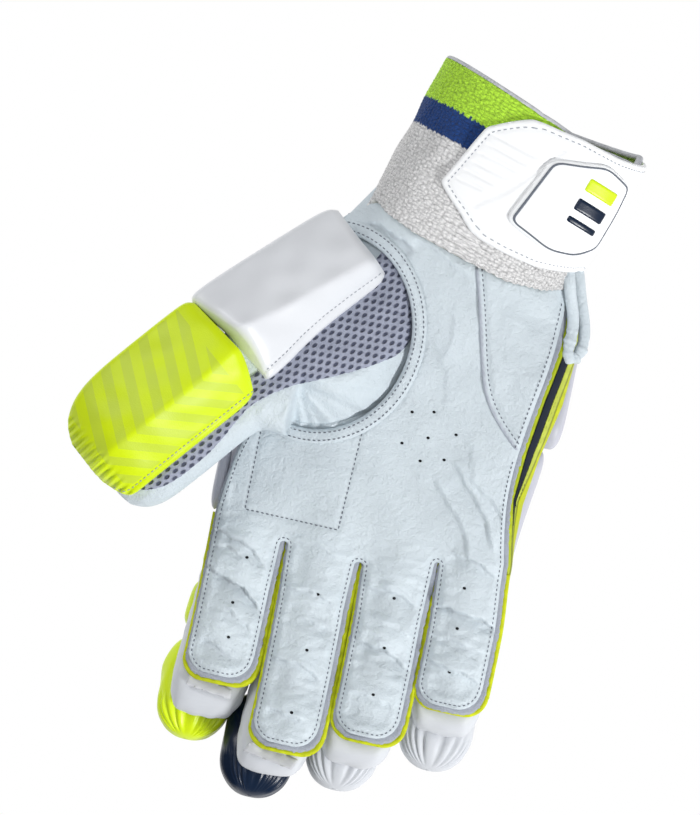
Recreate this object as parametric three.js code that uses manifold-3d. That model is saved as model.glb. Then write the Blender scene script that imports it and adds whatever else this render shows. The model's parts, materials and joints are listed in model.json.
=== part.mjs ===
// A cricket batting glove for the right hand, lying on its padded back with the palm up.
// Millimetres. +X points to the little finger's side, +Y to the wrist and +Z out of the palm.
// The hand goes in through the cuff, over the back lining and into four finger sleeves and the thumb.
import * as THREE from "three";
import { mergeVertices } from "three/addons/utils/BufferGeometryUtils.js";
import Module from "manifold-3d";

const wasm = await Module();
wasm.setup();

// Walls and clearances
const GAP = 0.4; // between neighbouring pieces
const LEATHER = 1.5; // palm leather
const PATCH = 1.2; // leather sewn on the palm
const WELT = 1; // grey suede strip in the finger seams
const FLANGE = 1.2; // seam allowance of a finger sleeve
const FABRIC = 1.5; // wall of sleeves and back lining
const MESH = 1.2; // airflow mesh on the thumb
const KNIT = 3.5; // knitted cuff
const STRAP = 2.2;
const BADGE = 1.2;

// Heights above the surface that the glove lies on
const PALM_Z = 46; // top of the palm leather
const PAD_TOP = 23.5; // top of the padding on the back
const PALM_HOLLOW = 2.5;
const FINGER_CROWN = 1.4;

// Curl: beyond the knuckle line the fingers wrap on a cylinder above the palm
const KNUCKLE_Y = -22;
const CURL_RADIUS = 250;
const CROWN_BLEND = 16; // how far the fingers' crowns fade into the palm, each way

// Fingers. left and right: edges of the white leather. length: knuckle line to leather tip, along the curl.
// slot: crotch beside the finger, on its little-finger side, from the knuckle line. collar and cap: reach past the leather.
// drift: how far the padding leans to the index side at the tip. pad: colour of the back padding.
const FINGERS = [
  { name: "index", left: -57, right: -30.8, length: 67.3, slot: 9, collar: 13, cap: 18.7, drift: 7, pad: "lime" },
  { name: "middle", left: -25.6, right: 0.4, length: 89.4, slot: 11, collar: 7.7, cap: 12.4, drift: 8.5, pad: "navy" },
  { name: "ring", left: 5.6, right: 31.4, length: 79.2, slot: 4.5, collar: 8.1, cap: 13.7, drift: 6.5, pad: "white" },
  { name: "little", left: 35.4, right: 61, length: 60.7, slot: 4.5, collar: 7.6, cap: 18.2, drift: 0.8, pad: "white" },
];
const TIP_RADIUS = 9; // corners of a fingertip's leather
const SLOT_FLARE = 1.6; // each side of a crotch closes in by this
const SLOT_FLARE_LENGTH = 40;
const WELT_SHOWS = { left: 0.9, right: 2.3, tip: 3 };
const FLANGE_SHOWS = { left: 1.4, right: 3.2, tip: 4.3 };
const SLEEVE_INSET = { left: 1.4, right: 0, tip: 1.2 };
const COLLAR_WALL = 2; // thinnest wall of a fingertip collar
const COLLAR_TOP = 38.5;
const ROLL_WIDTH = 29;
const CAP_WIDTH = 30.4;
const CAP_LENGTH = 38;
const ROLL_SPACE = 0.8;

// Palm, from the knuckle line to the wrist
const PALM_LENGTH = 112;
const PALM_WIDTH = 118;
const WRIST_Y = KNUCKLE_Y + PALM_LENGTH;
const THUMB_HOLE = { x: -31, y: WRIST_Y - 35, rx: 35.5, ry: 40 };
const RIM_WIDTH = 6;
const RIM_FROM = -2.15; // radians round the thumb hole
const RIM_TO = 1.75;

// Back padding behind the palm
const KNUCKLE_PAD_END = 26; // toward the wrist
const KNUCKLE_PAD_BULGE = 4;
const BACK_PAD_END = WRIST_Y - 2;
const SIDE_GUARD_WIDTH = 13;

// Cuff: a flattened knitted tube leaning to the little-finger side
const CUFF = { x: 18, y: WRIST_Y + 8.9, lean: 18, halfWidth: 43.2, baseHalfHeight: 21, rimHalfHeight: 25, z: 30 };
const CUFF_LENGTH = 61;
const CUFF_FLARE = 1.7;
const WRIST_DROP = 12; // the palm's sides sink by this at the wrist
const CUFF_TUCK = 4; // the palm reaches this far under the knit
const RIM_BINDING = 2.4;

// Strap
const STRAP_BACK = 22; // it ends this far from the cuff's middle on the back

// Thumb
const THUMB_PAD_THICK = 17;

// Pull loop of piped leather
const LOOP_RADIUS = 2.05;

const material = (color, roughness) => new THREE.MeshStandardMaterial({ color, roughness, metalness: 0 });
const PALM_LEATHER = material(0xd9e0e4, 0.55);
const WHITE_PU = material(0xeef0f0, 0.4);
const GREY_SUEDE = material(0x9aa3b3, 0.95);
const LIME_FABRIC = material(0xc6dd12, 0.9);
const LIME_PU = material(0xc8e400, 0.4);
const NAVY_PU = material(0x0b2a4a, 0.35);
const GREY_MESH = material(0x8b8fa6, 0.9);
const GREY_KNIT = material(0xc4c4c2, 1);
const BACK_FABRIC = material(0xd7dadb, 0.9);
const PAD_COLOURS = { lime: LIME_PU, navy: NAVY_PU, white: WHITE_PU };

const clamp01 = (t) => Math.min(1, Math.max(0, t));
const smooth = (t) => clamp01(t) ** 2 * (3 - 2 * clamp01(t));
const mix = (a, b, t) => a + (b - a) * t;
const middle = (f) => (f.left + f.right) / 2;

// A Manifold solid from points and faces. Faces are turned outward by the sign of the enclosed volume.
function solidOf(points, faces) {
  let volume = 0;
  for (const [a, b, c] of faces) {
    const [p, q, r] = [points[a], points[b], points[c]].map((v) => new THREE.Vector3(...v));
    volume += p.dot(q.cross(r));
  }
  const turned = volume < 0 ? faces.map(([a, b, c]) => [a, c, b]) : faces;
  const geometry = new THREE.BufferGeometry();
  geometry.setAttribute("position", new THREE.Float32BufferAttribute(points.flat(), 3));
  geometry.setIndex(turned.flat());
  return solidFrom(geometry);
}

function solidFrom(geometry) {
  const bare = geometry.clone();
  for (const name of ["normal", "uv"]) bare.deleteAttribute(name);
  const merged = mergeVertices(bare, 1e-4);
  const vertProperties = new Float32Array(merged.attributes.position.array);
  const triVerts = new Uint32Array(merged.index.array);
  return new wasm.Manifold(new wasm.Mesh({ numProp: 3, vertProperties, triVerts }));
}

// Two faces of a four-sided cell.
const cell = (a, b, c, d) => [[a, b, c], [a, c, d]];

// A skin over rings of equal length; a ladder of faces closes each end.
function loft(rings) {
  const n = rings[0].length;
  const last = (rings.length - 1) * n;
  const faces = [];
  for (let r = 0; r + 1 < rings.length; r++)
    for (let i = 0; i < n; i++) {
      const [a, b] = [r * n + i, r * n + ((i + 1) % n)];
      faces.push(...cell(a, b, b + n, a + n));
    }
  for (let i = 0; i < n / 2 - 1; i++) {
    const [a, b, c, d] = [i, i + 1, n - 2 - i, n - 1 - i];
    faces.push(...cell(a, d, c, b), ...cell(last + a, last + b, last + c, last + d));
  }
  return solidOf(rings.flat(), faces);
}

// A skin over a grid that closes on itself both ways, such as the wall of an open tube.
function wrap(grid) {
  const [m, n] = [grid.length, grid[0].length];
  const faces = [];
  for (let i = 0; i < m; i++)
    for (let j = 0; j < n; j++) {
      const [i2, j2] = [(i + 1) % m, (j + 1) % n];
      faces.push(...cell(i * n + j, i2 * n + j, i2 * n + j2, i * n + j2));
    }
  return solidOf(grid.flat(), faces);
}

// The solid between two open grids of the same size, one over the other.
function between(lower, upper) {
  const [m, n] = [lower.length, lower[0].length];
  const top = m * n;
  const faces = [];
  for (let i = 0; i + 1 < m; i++)
    for (let j = 0; j + 1 < n; j++) {
      const [a, b, c, d] = [i * n + j, (i + 1) * n + j, (i + 1) * n + j + 1, i * n + j + 1];
      faces.push(...cell(a, d, c, b), ...cell(top + a, top + b, top + c, top + d));
    }
  const edge = (a, b) => faces.push(...cell(a, b, top + b, top + a));
  for (let i = 0; i + 1 < m; i++) {
    edge(i * n, (i + 1) * n);
    edge((i + 2) * n - 1, (i + 1) * n - 1);
  }
  for (let j = 0; j + 1 < n; j++) {
    edge(j + 1, j);
    edge((m - 1) * n + j, (m - 1) * n + j + 1);
  }
  return solidOf([...lower.flat(), ...upper.flat()], faces);
}

const join = (solids) => solids.reduce((a, b) => a.add(b));

// An upright prism over an outline in plan, taller than the glove.
const FAR = 200; // beyond every piece
const PRISM_BOTTOM = -60;
const PRISM_HEIGHT = 240;
function prism(outline, bottom = PRISM_BOTTOM, height = PRISM_HEIGHT) {
  const shape = outline instanceof THREE.Shape ? outline : new THREE.Shape(outline.map((p) => new THREE.Vector2(...p)));
  const geometry = new THREE.ExtrudeGeometry(shape, { depth: height, bevelEnabled: false, curveSegments: 3 });
  return solidFrom(geometry.translate(0, 0, bottom));
}

// The curl: a point beyond the knuckle line is wrapped on the cylinder, keeping its distance from the leather.
function curl([x, y, z]) {
  const angle = Math.max(0, KNUCKLE_Y - y) / CURL_RADIUS;
  if (!angle) return [x, y, z];
  const arm = CURL_RADIUS + PALM_Z - z;
  return [x, KNUCKLE_Y - arm * Math.sin(angle), PALM_Z + CURL_RADIUS - arm * Math.cos(angle)];
}

// Plan distance beyond the knuckle line of a length along the curl, at the leather.
const inPlan = (length) => CURL_RADIUS * Math.sin(length / CURL_RADIUS);

// Point on the cuff's plan: across its middle line and along it from its base.
const LEAN = THREE.MathUtils.degToRad(CUFF.lean);
function onCuff(across, along) {
  return [
    CUFF.x + across * Math.cos(LEAN) + along * Math.sin(LEAN),
    CUFF.y - across * Math.sin(LEAN) + along * Math.cos(LEAN),
  ];
}

// Height of the palm leather's outer face over a place in plan.
function palmHeight(x, y) {
  const beyond = Math.max(0, KNUCKLE_Y - y);
  const rise = CURL_RADIUS - Math.sqrt(CURL_RADIUS ** 2 - beyond ** 2);
  const near = FINGERS.reduce((a, b) => (Math.abs(x - middle(b)) < Math.abs(x - middle(a)) ? b : a));
  const half = (near.right - near.left) / 2 + SLOT_FLARE;
  const crown = FINGER_CROWN * Math.cos((Math.PI * Math.min(1, Math.abs(x - middle(near)) / half)));
  const onFingers = smooth((KNUCKLE_Y + CROWN_BLEND - y) / (2 * CROWN_BLEND));
  const hollow = PALM_HOLLOW * Math.exp(-(((x - 16) / 26) ** 2) - ((y - 30) / 34) ** 2);
  const across = (x - CUFF.x) * Math.cos(LEAN) - (y - CUFF.y) * Math.sin(LEAN);
  const side = Math.min(1.2, Math.abs(across / CUFF.halfWidth)) ** 3;
  return PALM_Z + rise + crown * onFingers - hollow - WRIST_DROP * smooth((y - 50) / 50) * side;
}

// Grid lines shared by every layer of the palm, so that layers stay parallel.
const GRID_X = [
  -69,
  ...FINGERS.flatMap((f) => [f.left - SLOT_FLARE, mix(f.left, f.right, 0.32), mix(f.left, f.right, 0.68)]),
  FINGERS[3].right + SLOT_FLARE,
  FINGERS[3].right + 12,
];
const GRID_Y = [-121, -104, -87, -70, -54, -38, -22, 0, 30, 60, 90, 120];

// Layers that show only at the edges skip the lines along the fingers' middles.
const EDGE_X = GRID_X.filter((_, i) => i % 3 === 1 || i === 0 || i === GRID_X.length - 1);

// The draped slab between two offsets from the palm leather's outer face.
function draped(below, above, lines = GRID_X) {
  const level = (offset) => lines.map((x) => GRID_Y.map((y) => [x, y, palmHeight(x, y) + offset]));
  return between(level(below), level(above));
}
const DEEP = -150;
const WELT_TOP = -(LEATHER + GAP);
const FLANGE_TOP = WELT_TOP - WELT - GAP;
const underWelt = draped(DEEP, FLANGE_TOP, EDGE_X);

// Plan of one finger's leather, widened by grow.
function fingerPlan(f, grow) {
  const [x0, x1] = [f.left - grow.left, f.right + grow.right];
  const tip = KNUCKLE_Y - inPlan(f.length) - grow.tip;
  const root = KNUCKLE_Y + TIP_RADIUS;
  const waist = root - SLOT_FLARE_LENGTH;
  const shape = new THREE.Shape();
  shape.moveTo(x0 - SLOT_FLARE, root);
  shape.lineTo(x0, waist);
  shape.absarc(x0 + TIP_RADIUS, tip + TIP_RADIUS, TIP_RADIUS, Math.PI, 1.5 * Math.PI, false);
  shape.absarc(x1 - TIP_RADIUS, tip + TIP_RADIUS, TIP_RADIUS, 1.5 * Math.PI, 2 * Math.PI, false);
  shape.lineTo(x1, waist);
  shape.lineTo(x1 + SLOT_FLARE, root);
  return shape;
}

// The knit's lower edge on the palm side, as shares of the cuff's half width and of its length.
const SEAM = [
  { across: 1, along: 0.095 },
  { across: 0.82, along: 0.01 },
  { across: 0.5, along: -0.06 },
  { across: 0, along: -0.08 },
  { across: -0.5, along: -0.092 },
  { across: -1, along: -0.085 },
];

// The palm's side edges: share of the palm's length from the knuckles, and share of its width outward.
const LITTLE_SIDE = [
  { along: 0, out: -0.02 },
  { along: 0.06, out: -0.035 },
  { along: 0.23, out: -0.055 },
  { along: 0.41, out: -0.044 },
  { along: 0.6, out: -0.02 },
  { along: 0.78, out: 0.01 },
  { along: 0.97, out: 0.013 },
];
const INDEX_SIDE = [
  { along: 0.37, out: -0.09 },
  { along: 0.28, out: -0.042 },
  { along: 0.15, out: -0.014 },
  { along: 0, out: 0 },
];
const littleEdge = (row) => [FINGERS[3].right + row.out * PALM_WIDTH, KNUCKLE_Y + row.along * PALM_LENGTH];
const indexEdge = (row) => [FINGERS[0].left - row.out * PALM_WIDTH, KNUCKLE_Y + row.along * PALM_LENGTH];
const THUMB_CORNER = onCuff(-1.12 * CUFF.halfWidth, -0.24 * CUFF_LENGTH);

// Plan of the palm between fingers and cuff, widened by grow; it reaches under the knit by tuck.
function palmPlan(grow, tuck) {
  const right = LITTLE_SIDE.map(littleEdge).map(([x, y]) => [x + grow.right, y]);
  const left = INDEX_SIDE.map(indexEdge).map(([x, y]) => [x - grow.left, y]);
  const wrist = SEAM.map((s) => onCuff(s.across * CUFF.halfWidth, s.along * CUFF_LENGTH + tuck));
  const crotches = FINGERS.slice(0, 3).map((f, i) => [
    (f.right + FINGERS[i + 1].left) / 2,
    KNUCKLE_Y - f.slot + grow.crotch,
  ]);
  const corners = [
    [FINGERS[0].left - grow.left, KNUCKLE_Y - FINGERS[0].slot],
    ...crotches,
    [FINGERS[3].right + grow.right, KNUCKLE_Y - FINGERS[3].slot],
  ];
  return [...corners, ...right, ...wrist, [THUMB_CORNER[0] - grow.left, THUMB_CORNER[1]], ...left];
}
const ALL_SIDES = { left: 0, right: 0, tip: 0, crotch: 0 };
function wholePlan(grow, tuck) {
  const g = { ...ALL_SIDES, ...grow };
  return join([prism(palmPlan(g, tuck)), ...FINGERS.map((f) => prism(fingerPlan(f, g)))]);
}

// The thumb hole, widened by grow.
function holePrism(grow) {
  const { x, y, rx, ry } = THUMB_HOLE;
  const shape = new THREE.Shape();
  shape.absellipse(x, y, rx + grow, ry + grow, 0, 2 * Math.PI, false, 0);
  const geometry = new THREE.ExtrudeGeometry(shape, { depth: PRISM_HEIGHT, bevelEnabled: false, curveSegments: 12 });
  return solidFrom(geometry.translate(0, 0, PRISM_BOTTOM));
}

// Parts of the palm
function makePalm() {
  const plan = wholePlan(ALL_SIDES, CUFF_TUCK).subtract(holePrism(0));
  return largest(plan.intersect(draped(-LEATHER, 0)).subtract(cuffWall(GAP)));
}

function makeWelt() {
  const outer = wholePlan(WELT_SHOWS, 0);
  const inner = wholePlan({ left: -3, right: -3, tip: -3, crotch: 3.5 }, CUFF_TUCK + 3);
  const rim = outer.subtract(inner).subtract(holePrism(RIM_WIDTH));
  return largest(rim.intersect(draped(WELT_TOP - WELT, WELT_TOP, EDGE_X)).subtract(cuffWall(GAP)));
}

const HEEL_SEAM = [
  { along: 0.385, out: -0.06 },
  { along: 0.47, out: -0.12 },
  { along: 0.63, out: -0.22 },
  { along: 0.9, out: -0.29 },
];
const heelEdge = HEEL_SEAM.map(littleEdge);
function makeHeelPatch() {
  const inset = 0.8;
  const side = LITTLE_SIDE.slice(3).map(littleEdge).map(([x, y]) => [x - inset, y]);
  const wrist = SEAM.slice(0, 3).map((s) => onCuff(s.across * CUFF.halfWidth - inset, s.along * CUFF_LENGTH - GAP));
  const outline = [heelEdge[0], ...side, ...wrist, ...heelEdge.slice(1).reverse()];
  return largest(prism(outline).intersect(draped(GAP, GAP + PATCH)).subtract(cuffWall(GAP)));
}

// The raised leather band round the thumb hole.
function makeThumbRim() {
  const { x, y, rx, ry } = THUMB_HOLE;
  const steps = 11;
  const arc = (grow) =>
    Array.from({ length: steps + 1 }, (_, i) => {
      const a = mix(RIM_FROM, RIM_TO, i / steps);
      return [x + (rx + grow) * Math.cos(a), y + (ry + grow) * Math.sin(a)];
    });
  return prism([...arc(0.3), ...arc(RIM_WIDTH).reverse()]).intersect(draped(GAP, GAP + PATCH));
}

// A ring across the hand at y: a squared ellipse between x0 and x1, z0 and z1, cut flat at the floor.
const RING_POINTS = 12;
function ring({ y, x0, x1, z0, z1 }, square = 0.55, floor = -Infinity) {
  const power = (v) => Math.sign(v) * Math.abs(v) ** square;
  return Array.from({ length: RING_POINTS }, (_, i) => {
    const a = ((i + 0.5) / RING_POINTS) * 2 * Math.PI;
    const x = mix(x0, x1, 0.5 + 0.5 * power(Math.cos(a)));
    const z = mix(z0, z1, 0.5 + 0.5 * power(Math.sin(a)));
    return curl([x, y, Math.max(floor, z)]);
  });
}

// Finger sleeves: fabric tubes closed at the tip, open to the palm, whose rims are caught in the finger seams.
const SLEEVE_BOTTOM = PAD_TOP + GAP;
const SLEEVE_ROOT = 3; // from the knuckle line
const TIP_TAPER = [
  { before: 11, width: 1 },
  { before: 5, width: 0.86 },
  { before: 1.6, width: 0.62 },
  { before: 0, width: 0.4 },
];
// An open trough's section: rounded below, upright walls above.
function trough({ y, x0, x1, z0, top }) {
  const corner = Math.min(7, (x1 - x0) * 0.27);
  const half = [
    [x1, top],
    [x1, z0 + corner],
    [x1 - corner * 0.3, z0 + corner * 0.3],
    [x1 - corner, z0],
  ];
  const other = half.map(([x, z]) => [x0 + x1 - x, z]).reverse();
  return [...half, ...other].map(([x, z]) => curl([x, y, z]));
}
function sleeveTube(f, grow, rootExtra, top) {
  const [x0, x1] = [f.left + SLEEVE_INSET.left, f.right - SLEEVE_INSET.right];
  const tip = f.length - SLEEVE_INSET.tip;
  const along = [
    ...(rootExtra ? [{ s: SLEEVE_ROOT - rootExtra, width: 1 }] : []),
    { s: SLEEVE_ROOT, width: 1 },
    { s: mix(SLEEVE_ROOT, tip - 11, 0.5), width: 1 },
    ...TIP_TAPER.map((t) => ({ s: tip - t.before + (t.before < 6 ? grow : 0), width: t.width })),
  ];
  const mid = (x0 + x1) / 2;
  const rings = along.map(({ s, width }) => {
    const half = ((x1 - x0) / 2) * width + grow;
    return { y: KNUCKLE_Y - s, x0: mid - half, x1: mid + half, z0: SLEEVE_BOTTOM - grow, top };
  });
  return loft(rings.map(trough));
}
const ABOVE = 30; // a cutter's reach past what it cuts
function makeSleeve(f, i) {
  const x0 = i ? (FINGERS[i - 1].right + WELT_SHOWS.right + f.left) / 2 + GAP : -FAR;
  const x1 = i < 3 ? (f.right + WELT_SHOWS.right + FINGERS[i + 1].left) / 2 : FAR;
  const root = KNUCKLE_Y - SLEEVE_ROOT;
  const lane = prism([[x0, -FAR], [x1, -FAR], [x1, root], [x0, root]]);
  const tube = sleeveTube(f, 0, 0, PALM_Z + 2).intersect(underWelt);
  const rim = draped(FLANGE_TOP - FLANGE, FLANGE_TOP, EDGE_X);
  const flange = prism(fingerPlan(f, FLANGE_SHOWS)).intersect(lane).intersect(rim);
  const room = sleeveTube(f, -FABRIC, ABOVE, PALM_Z + ABOVE);
  return tube.add(flange).subtract(room);
}

// Padded white collar beside and beyond each fingertip, leaning to the index side with the padding.
function collarBody(f, grow) {
  const tip = f.length + f.collar + grow;
  const root = 12;
  const along = [0, 0.62, 0.8, 0.9, 0.965, 1];
  const width = [1, 1, 0.96, 0.85, 0.66, 0.42];
  return loft(
    along.map((t, i) => {
      const s = mix(root - grow, tip, t);
      const lean = f.drift * t ** 1.5;
      const x0 = f.left + SLEEVE_INSET.left - GAP - COLLAR_WALL - lean * 0.75 - grow;
      const x1 = f.right - SLEEVE_INSET.right + GAP + COLLAR_WALL - lean * 0.35 + grow;
      const mid = (x0 + x1) / 2;
      const half = ((x1 - x0) / 2) * width[i];
      const y = KNUCKLE_Y - s;
      return ring({ y, x0: mid - half, x1: mid + half, z0: PAD_TOP + GAP - grow, z1: COLLAR_TOP + grow }, 0.4);
    }),
  );
}
function makeCollar(f, i) {
  const top = draped(FLANGE_TOP - FLANGE - GAP, ABOVE, EDGE_X);
  const body = collarBody(f, 0).subtract(sleeveTube(f, GAP, ABOVE, PALM_Z + ABOVE)).subtract(top);
  const clear = i ? body.subtract(collarBody(FINGERS[i - 1], GAP)) : body;
  return largest(clear);
}

// The biggest of the bodies that a cut leaves.
function largest(solid) {
  return solid.decompose().reduce((a, b) => (a.volume() > b.volume() ? a : b));
}

// A pillow of padding between two places along a finger, s0 to s1, leaning with the finger's drift.
function leanAt(f, s) {
  return f.drift * Math.min(1, (s / (0.72 * (f.length + f.cap))) ** 1.5);
}
function roll(f, s0, s1, width, profile, grow = 0) {
  return loft(
    profile.map(({ at, size }) => {
      const s = mix(s0 - grow, s1 + grow, at);
      const mid = middle(f) - leanAt(f, s);
      const half = (width / 2 + grow) * size;
      const centre = PAD_TOP * 0.52;
      const z0 = mix(centre, -2 - grow, size);
      const z1 = mix(centre, PAD_TOP + grow, size);
      return ring({ y: KNUCKLE_Y - s, x0: mid - half, x1: mid + half, z0, z1 }, 0.6, -grow);
    }),
  );
}
const PILLOW = [
  { at: 0, size: 0.7 },
  { at: 0.16, size: 1 },
  { at: 0.84, size: 1 },
  { at: 1, size: 0.7 },
];
const NOSE = [
  { at: 0, size: 0.72 },
  { at: 0.12, size: 1 },
  { at: 0.76, size: 0.93 },
  { at: 0.93, size: 0.7 },
  { at: 1, size: 0.36 },
];
const ROLL_ROOT = 5;
function fingerPads(f) {
  const tip = f.length + f.cap;
  const capRoot = tip - CAP_LENGTH;
  const joint = mix(ROLL_ROOT, capRoot, 0.5);
  return [
    { name: "roll_base", from: ROLL_ROOT, to: joint - ROLL_SPACE, width: ROLL_WIDTH, profile: PILLOW },
    { name: "roll_mid", from: joint, to: capRoot - ROLL_SPACE, width: ROLL_WIDTH, profile: PILLOW },
    { name: "tip_cap", from: capRoot, to: tip, width: CAP_WIDTH, profile: NOSE },
  ];
}
const padBody = (f, p, grow) => roll(f, p.from, p.to, p.width, p.profile, grow);

// Back lining: the floor of the hand's room and its wall on the index side.
const LINING_START = KNUCKLE_Y - SLEEVE_ROOT + GAP;
const LINING_DROP = 9; // it sinks toward the cuff
const BACK_ROWS = [
  { along: 0, left: 0, right: 0.012 },
  { along: 0.2, left: -0.005, right: 0.005 },
  { along: 0.4, left: -0.09, right: 0.02 },
  { along: 0.62, left: -0.13, right: 0.05 },
  { along: 0.85, left: -0.17, right: 0.075 },
  { along: 1.06, left: -0.235, right: 0.03 },
];
function backRow(row) {
  const y = mix(LINING_START, KNUCKLE_Y + PALM_LENGTH * 1.06, row.along / 1.06);
  const z = SLEEVE_BOTTOM - LINING_DROP * smooth((row.along - 0.5) / 0.5);
  return { y, z, left: FINGERS[0].left - row.left * PALM_WIDTH, right: FINGERS[3].right + row.right * PALM_WIDTH };
}
// Height of the lining's under side at y.
function liningZ(y) {
  const rows = BACK_ROWS.map(backRow);
  const i = Math.min(rows.length - 2, Math.max(0, rows.findIndex((r) => r.y >= y) - 1));
  const [a, b] = [rows[i], rows[i + 1]];
  return mix(a.z, b.z, clamp01((y - a.y) / (b.y - a.y)));
}
function makeBackLining() {
  const rows = BACK_ROWS.map(backRow);
  const inset = SLEEVE_INSET.left;
  const box = (r, dx, dz, top, far) => [
    curl([r.left + inset + dx, r.y, r.z + dz]),
    curl([r.right + far, r.y, r.z + dz]),
    curl([r.right + far, r.y, top]),
    curl([r.left + inset + dx, r.y, top]),
  ];
  const outer = loft(rows.map((r) => box(r, 0, 0, PALM_Z, 0))).intersect(underWelt);
  const [first, last] = [rows[0], rows[rows.length - 1]];
  const reach = [{ ...first, y: first.y - ABOVE }, ...rows, { ...last, y: last.y + ABOVE }];
  const room = loft(reach.map((r) => box(r, FABRIC, FABRIC, PALM_Z + ABOVE, ABOVE)));
  return outer.subtract(room);
}

// Striped side strip: slopes from under the palm's edge out to the back padding on the little-finger side.
const STRIP_ROWS = [
  { along: -0.021, out: 0.022 },
  { along: 0.08, out: 0.014 },
  { along: 0.22, out: 0.014 },
  { along: 0.4, out: 0.036 },
  { along: 0.6, out: 0.076 },
  { along: 0.79, out: 0.086 },
  { along: 0.99, out: 0.085 },
];
function littleAt(along) {
  const next = LITTLE_SIDE.findIndex((row) => row.along >= along);
  if (next <= 0) return littleEdge(LITTLE_SIDE[0])[0];
  const [a, b] = [LITTLE_SIDE[next - 1], LITTLE_SIDE[next]];
  return mix(littleEdge(a)[0], littleEdge(b)[0], (along - a.along) / (b.along - a.along));
}
const STRIP_LIP = 1.2;
function makeSideStrip() {
  return loft(
    STRIP_ROWS.map((row) => {
      const y = KNUCKLE_Y + row.along * PALM_LENGTH;
      const inner = littleAt(row.along) - STRIP_LIP;
      const outer = FINGERS[3].right + row.out * PALM_WIDTH;
      const top = palmHeight(inner, y) + WELT_TOP - WELT - GAP;
      const foot = liningZ(y) + FABRIC + GAP + 0.3;
      return [
        [inner, y, top],
        [outer - 1, y, mix(foot, top, 0.62)],
        [outer, y, foot + 1],
        [outer, y, foot],
        [outer - FABRIC, y, foot],
        [outer - 1 - FABRIC, y, mix(foot, top, 0.5)],
        [inner, y, top - FABRIC * 1.3],
        [inner - 0.6, y, top - FABRIC * 0.6],
      ];
    }),
  );
}

// Padding behind the palm: one knuckle pad per finger, three back pads and a guard down the little finger's side.
function block(rows, grow = 0) {
  return loft(rows.map((r) => ring({ ...r, x0: r.x0 - grow, x1: r.x1 + grow, z1: r.z1 + grow }, 0.5, -grow)));
}
const PAD_ENDS = [
  { at: 0, size: 0.8 },
  { at: 0.12, size: 1 },
  { at: 0.5, size: 1 },
  { at: 0.88, size: 1 },
  { at: 1, size: 0.8 },
];
function pillowBlock({ y0, y1, left, right, top }) {
  return block(
    PAD_ENDS.map(({ at, size }) => {
      const y = mix(y0, y1, at);
      const mid = (left(y) + right(y)) / 2;
      const half = ((right(y) - left(y)) / 2) * (0.5 + size / 2);
      return { y, x0: mid - half, x1: mid + half, z0: mix(6, -2, size), z1: top(y) * mix(0.8, 1, (size - 0.8) * 5) };
    }),
  );
}
const SEAM_SPACE = 0.8;
const laneEdge = (i) => (i < 0 ? FINGERS[0].left - KNUCKLE_PAD_BULGE : (FINGERS[i].right + FINGERS[i + 1].left) / 2);
const sideBulge = (y) => 2.8 + 5.4 * smooth((y - KNUCKLE_Y) / 60);
function makeKnucklePad(f, i) {
  const bulge = (y) => (i ? 0 : 2 * Math.cos(((y + 10) / 40) * Math.PI) - 2);
  return pillowBlock({
    y0: KNUCKLE_Y - ROLL_ROOT + ROLL_SPACE,
    y1: KNUCKLE_PAD_END,
    left: (y) => laneEdge(i - 1) + (i ? SEAM_SPACE / 2 : 0) - bulge(y),
    right: (y) => (i < 3 ? laneEdge(i) - SEAM_SPACE / 2 : f.right + sideBulge(y)),
    top: () => PAD_TOP,
  });
}
const BACK_PADS = [
  { name: "back_pad_index", from: 0, to: 0.34 },
  { name: "back_pad_middle", from: 0.34, to: 0.66 },
  { name: "back_pad_ring", from: 0.66, to: 1 },
];
const backTop = (y) => liningZ(y) - GAP - 0.6;
const backLeft = (y) => FINGERS[0].left + 8 + 18 * smooth((y - 20) / 75);
const guardRight = (y) => FINGERS[3].right + sideBulge(y) + 3.8 - 4 * smooth((y - 76) / 16);
const guardLeft = (y) => FINGERS[3].right + sideBulge(y) - SIDE_GUARD_WIDTH + 4.5;
function makeBackPad(p) {
  const at = (share) => (y) => mix(backLeft(y), guardLeft(y) - SEAM_SPACE, share);
  return pillowBlock({
    y0: KNUCKLE_PAD_END + ROLL_SPACE,
    y1: BACK_PAD_END,
    left: (y) => at(p.from)(y) + SEAM_SPACE / 2,
    right: (y) => at(p.to)(y) - SEAM_SPACE / 2,
    top: backTop,
  });
}
const makeSideGuard = () =>
  pillowBlock({ y0: KNUCKLE_PAD_END + ROLL_SPACE, y1: 93, left: guardLeft, right: guardRight, top: backTop });
const INDEX_GUARD = { from: -24.5, to: 6, left: -61.4, right: -56.4, top: 38 };
function makeIndexGuard() {
  const { from, to, left, right, top } = INDEX_GUARD;
  const rows = PAD_ENDS.map(({ at, size }) => ({
    y: mix(from, to, at),
    x0: mix(right, left, (size - 0.6) * 2.5),
    x1: right,
    z0: PAD_TOP + GAP,
    z1: mix(30, top, (size - 0.6) * 2.5),
  }));
  return loft(rows.map((r) => ring(r, 0.5)));
}

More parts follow.
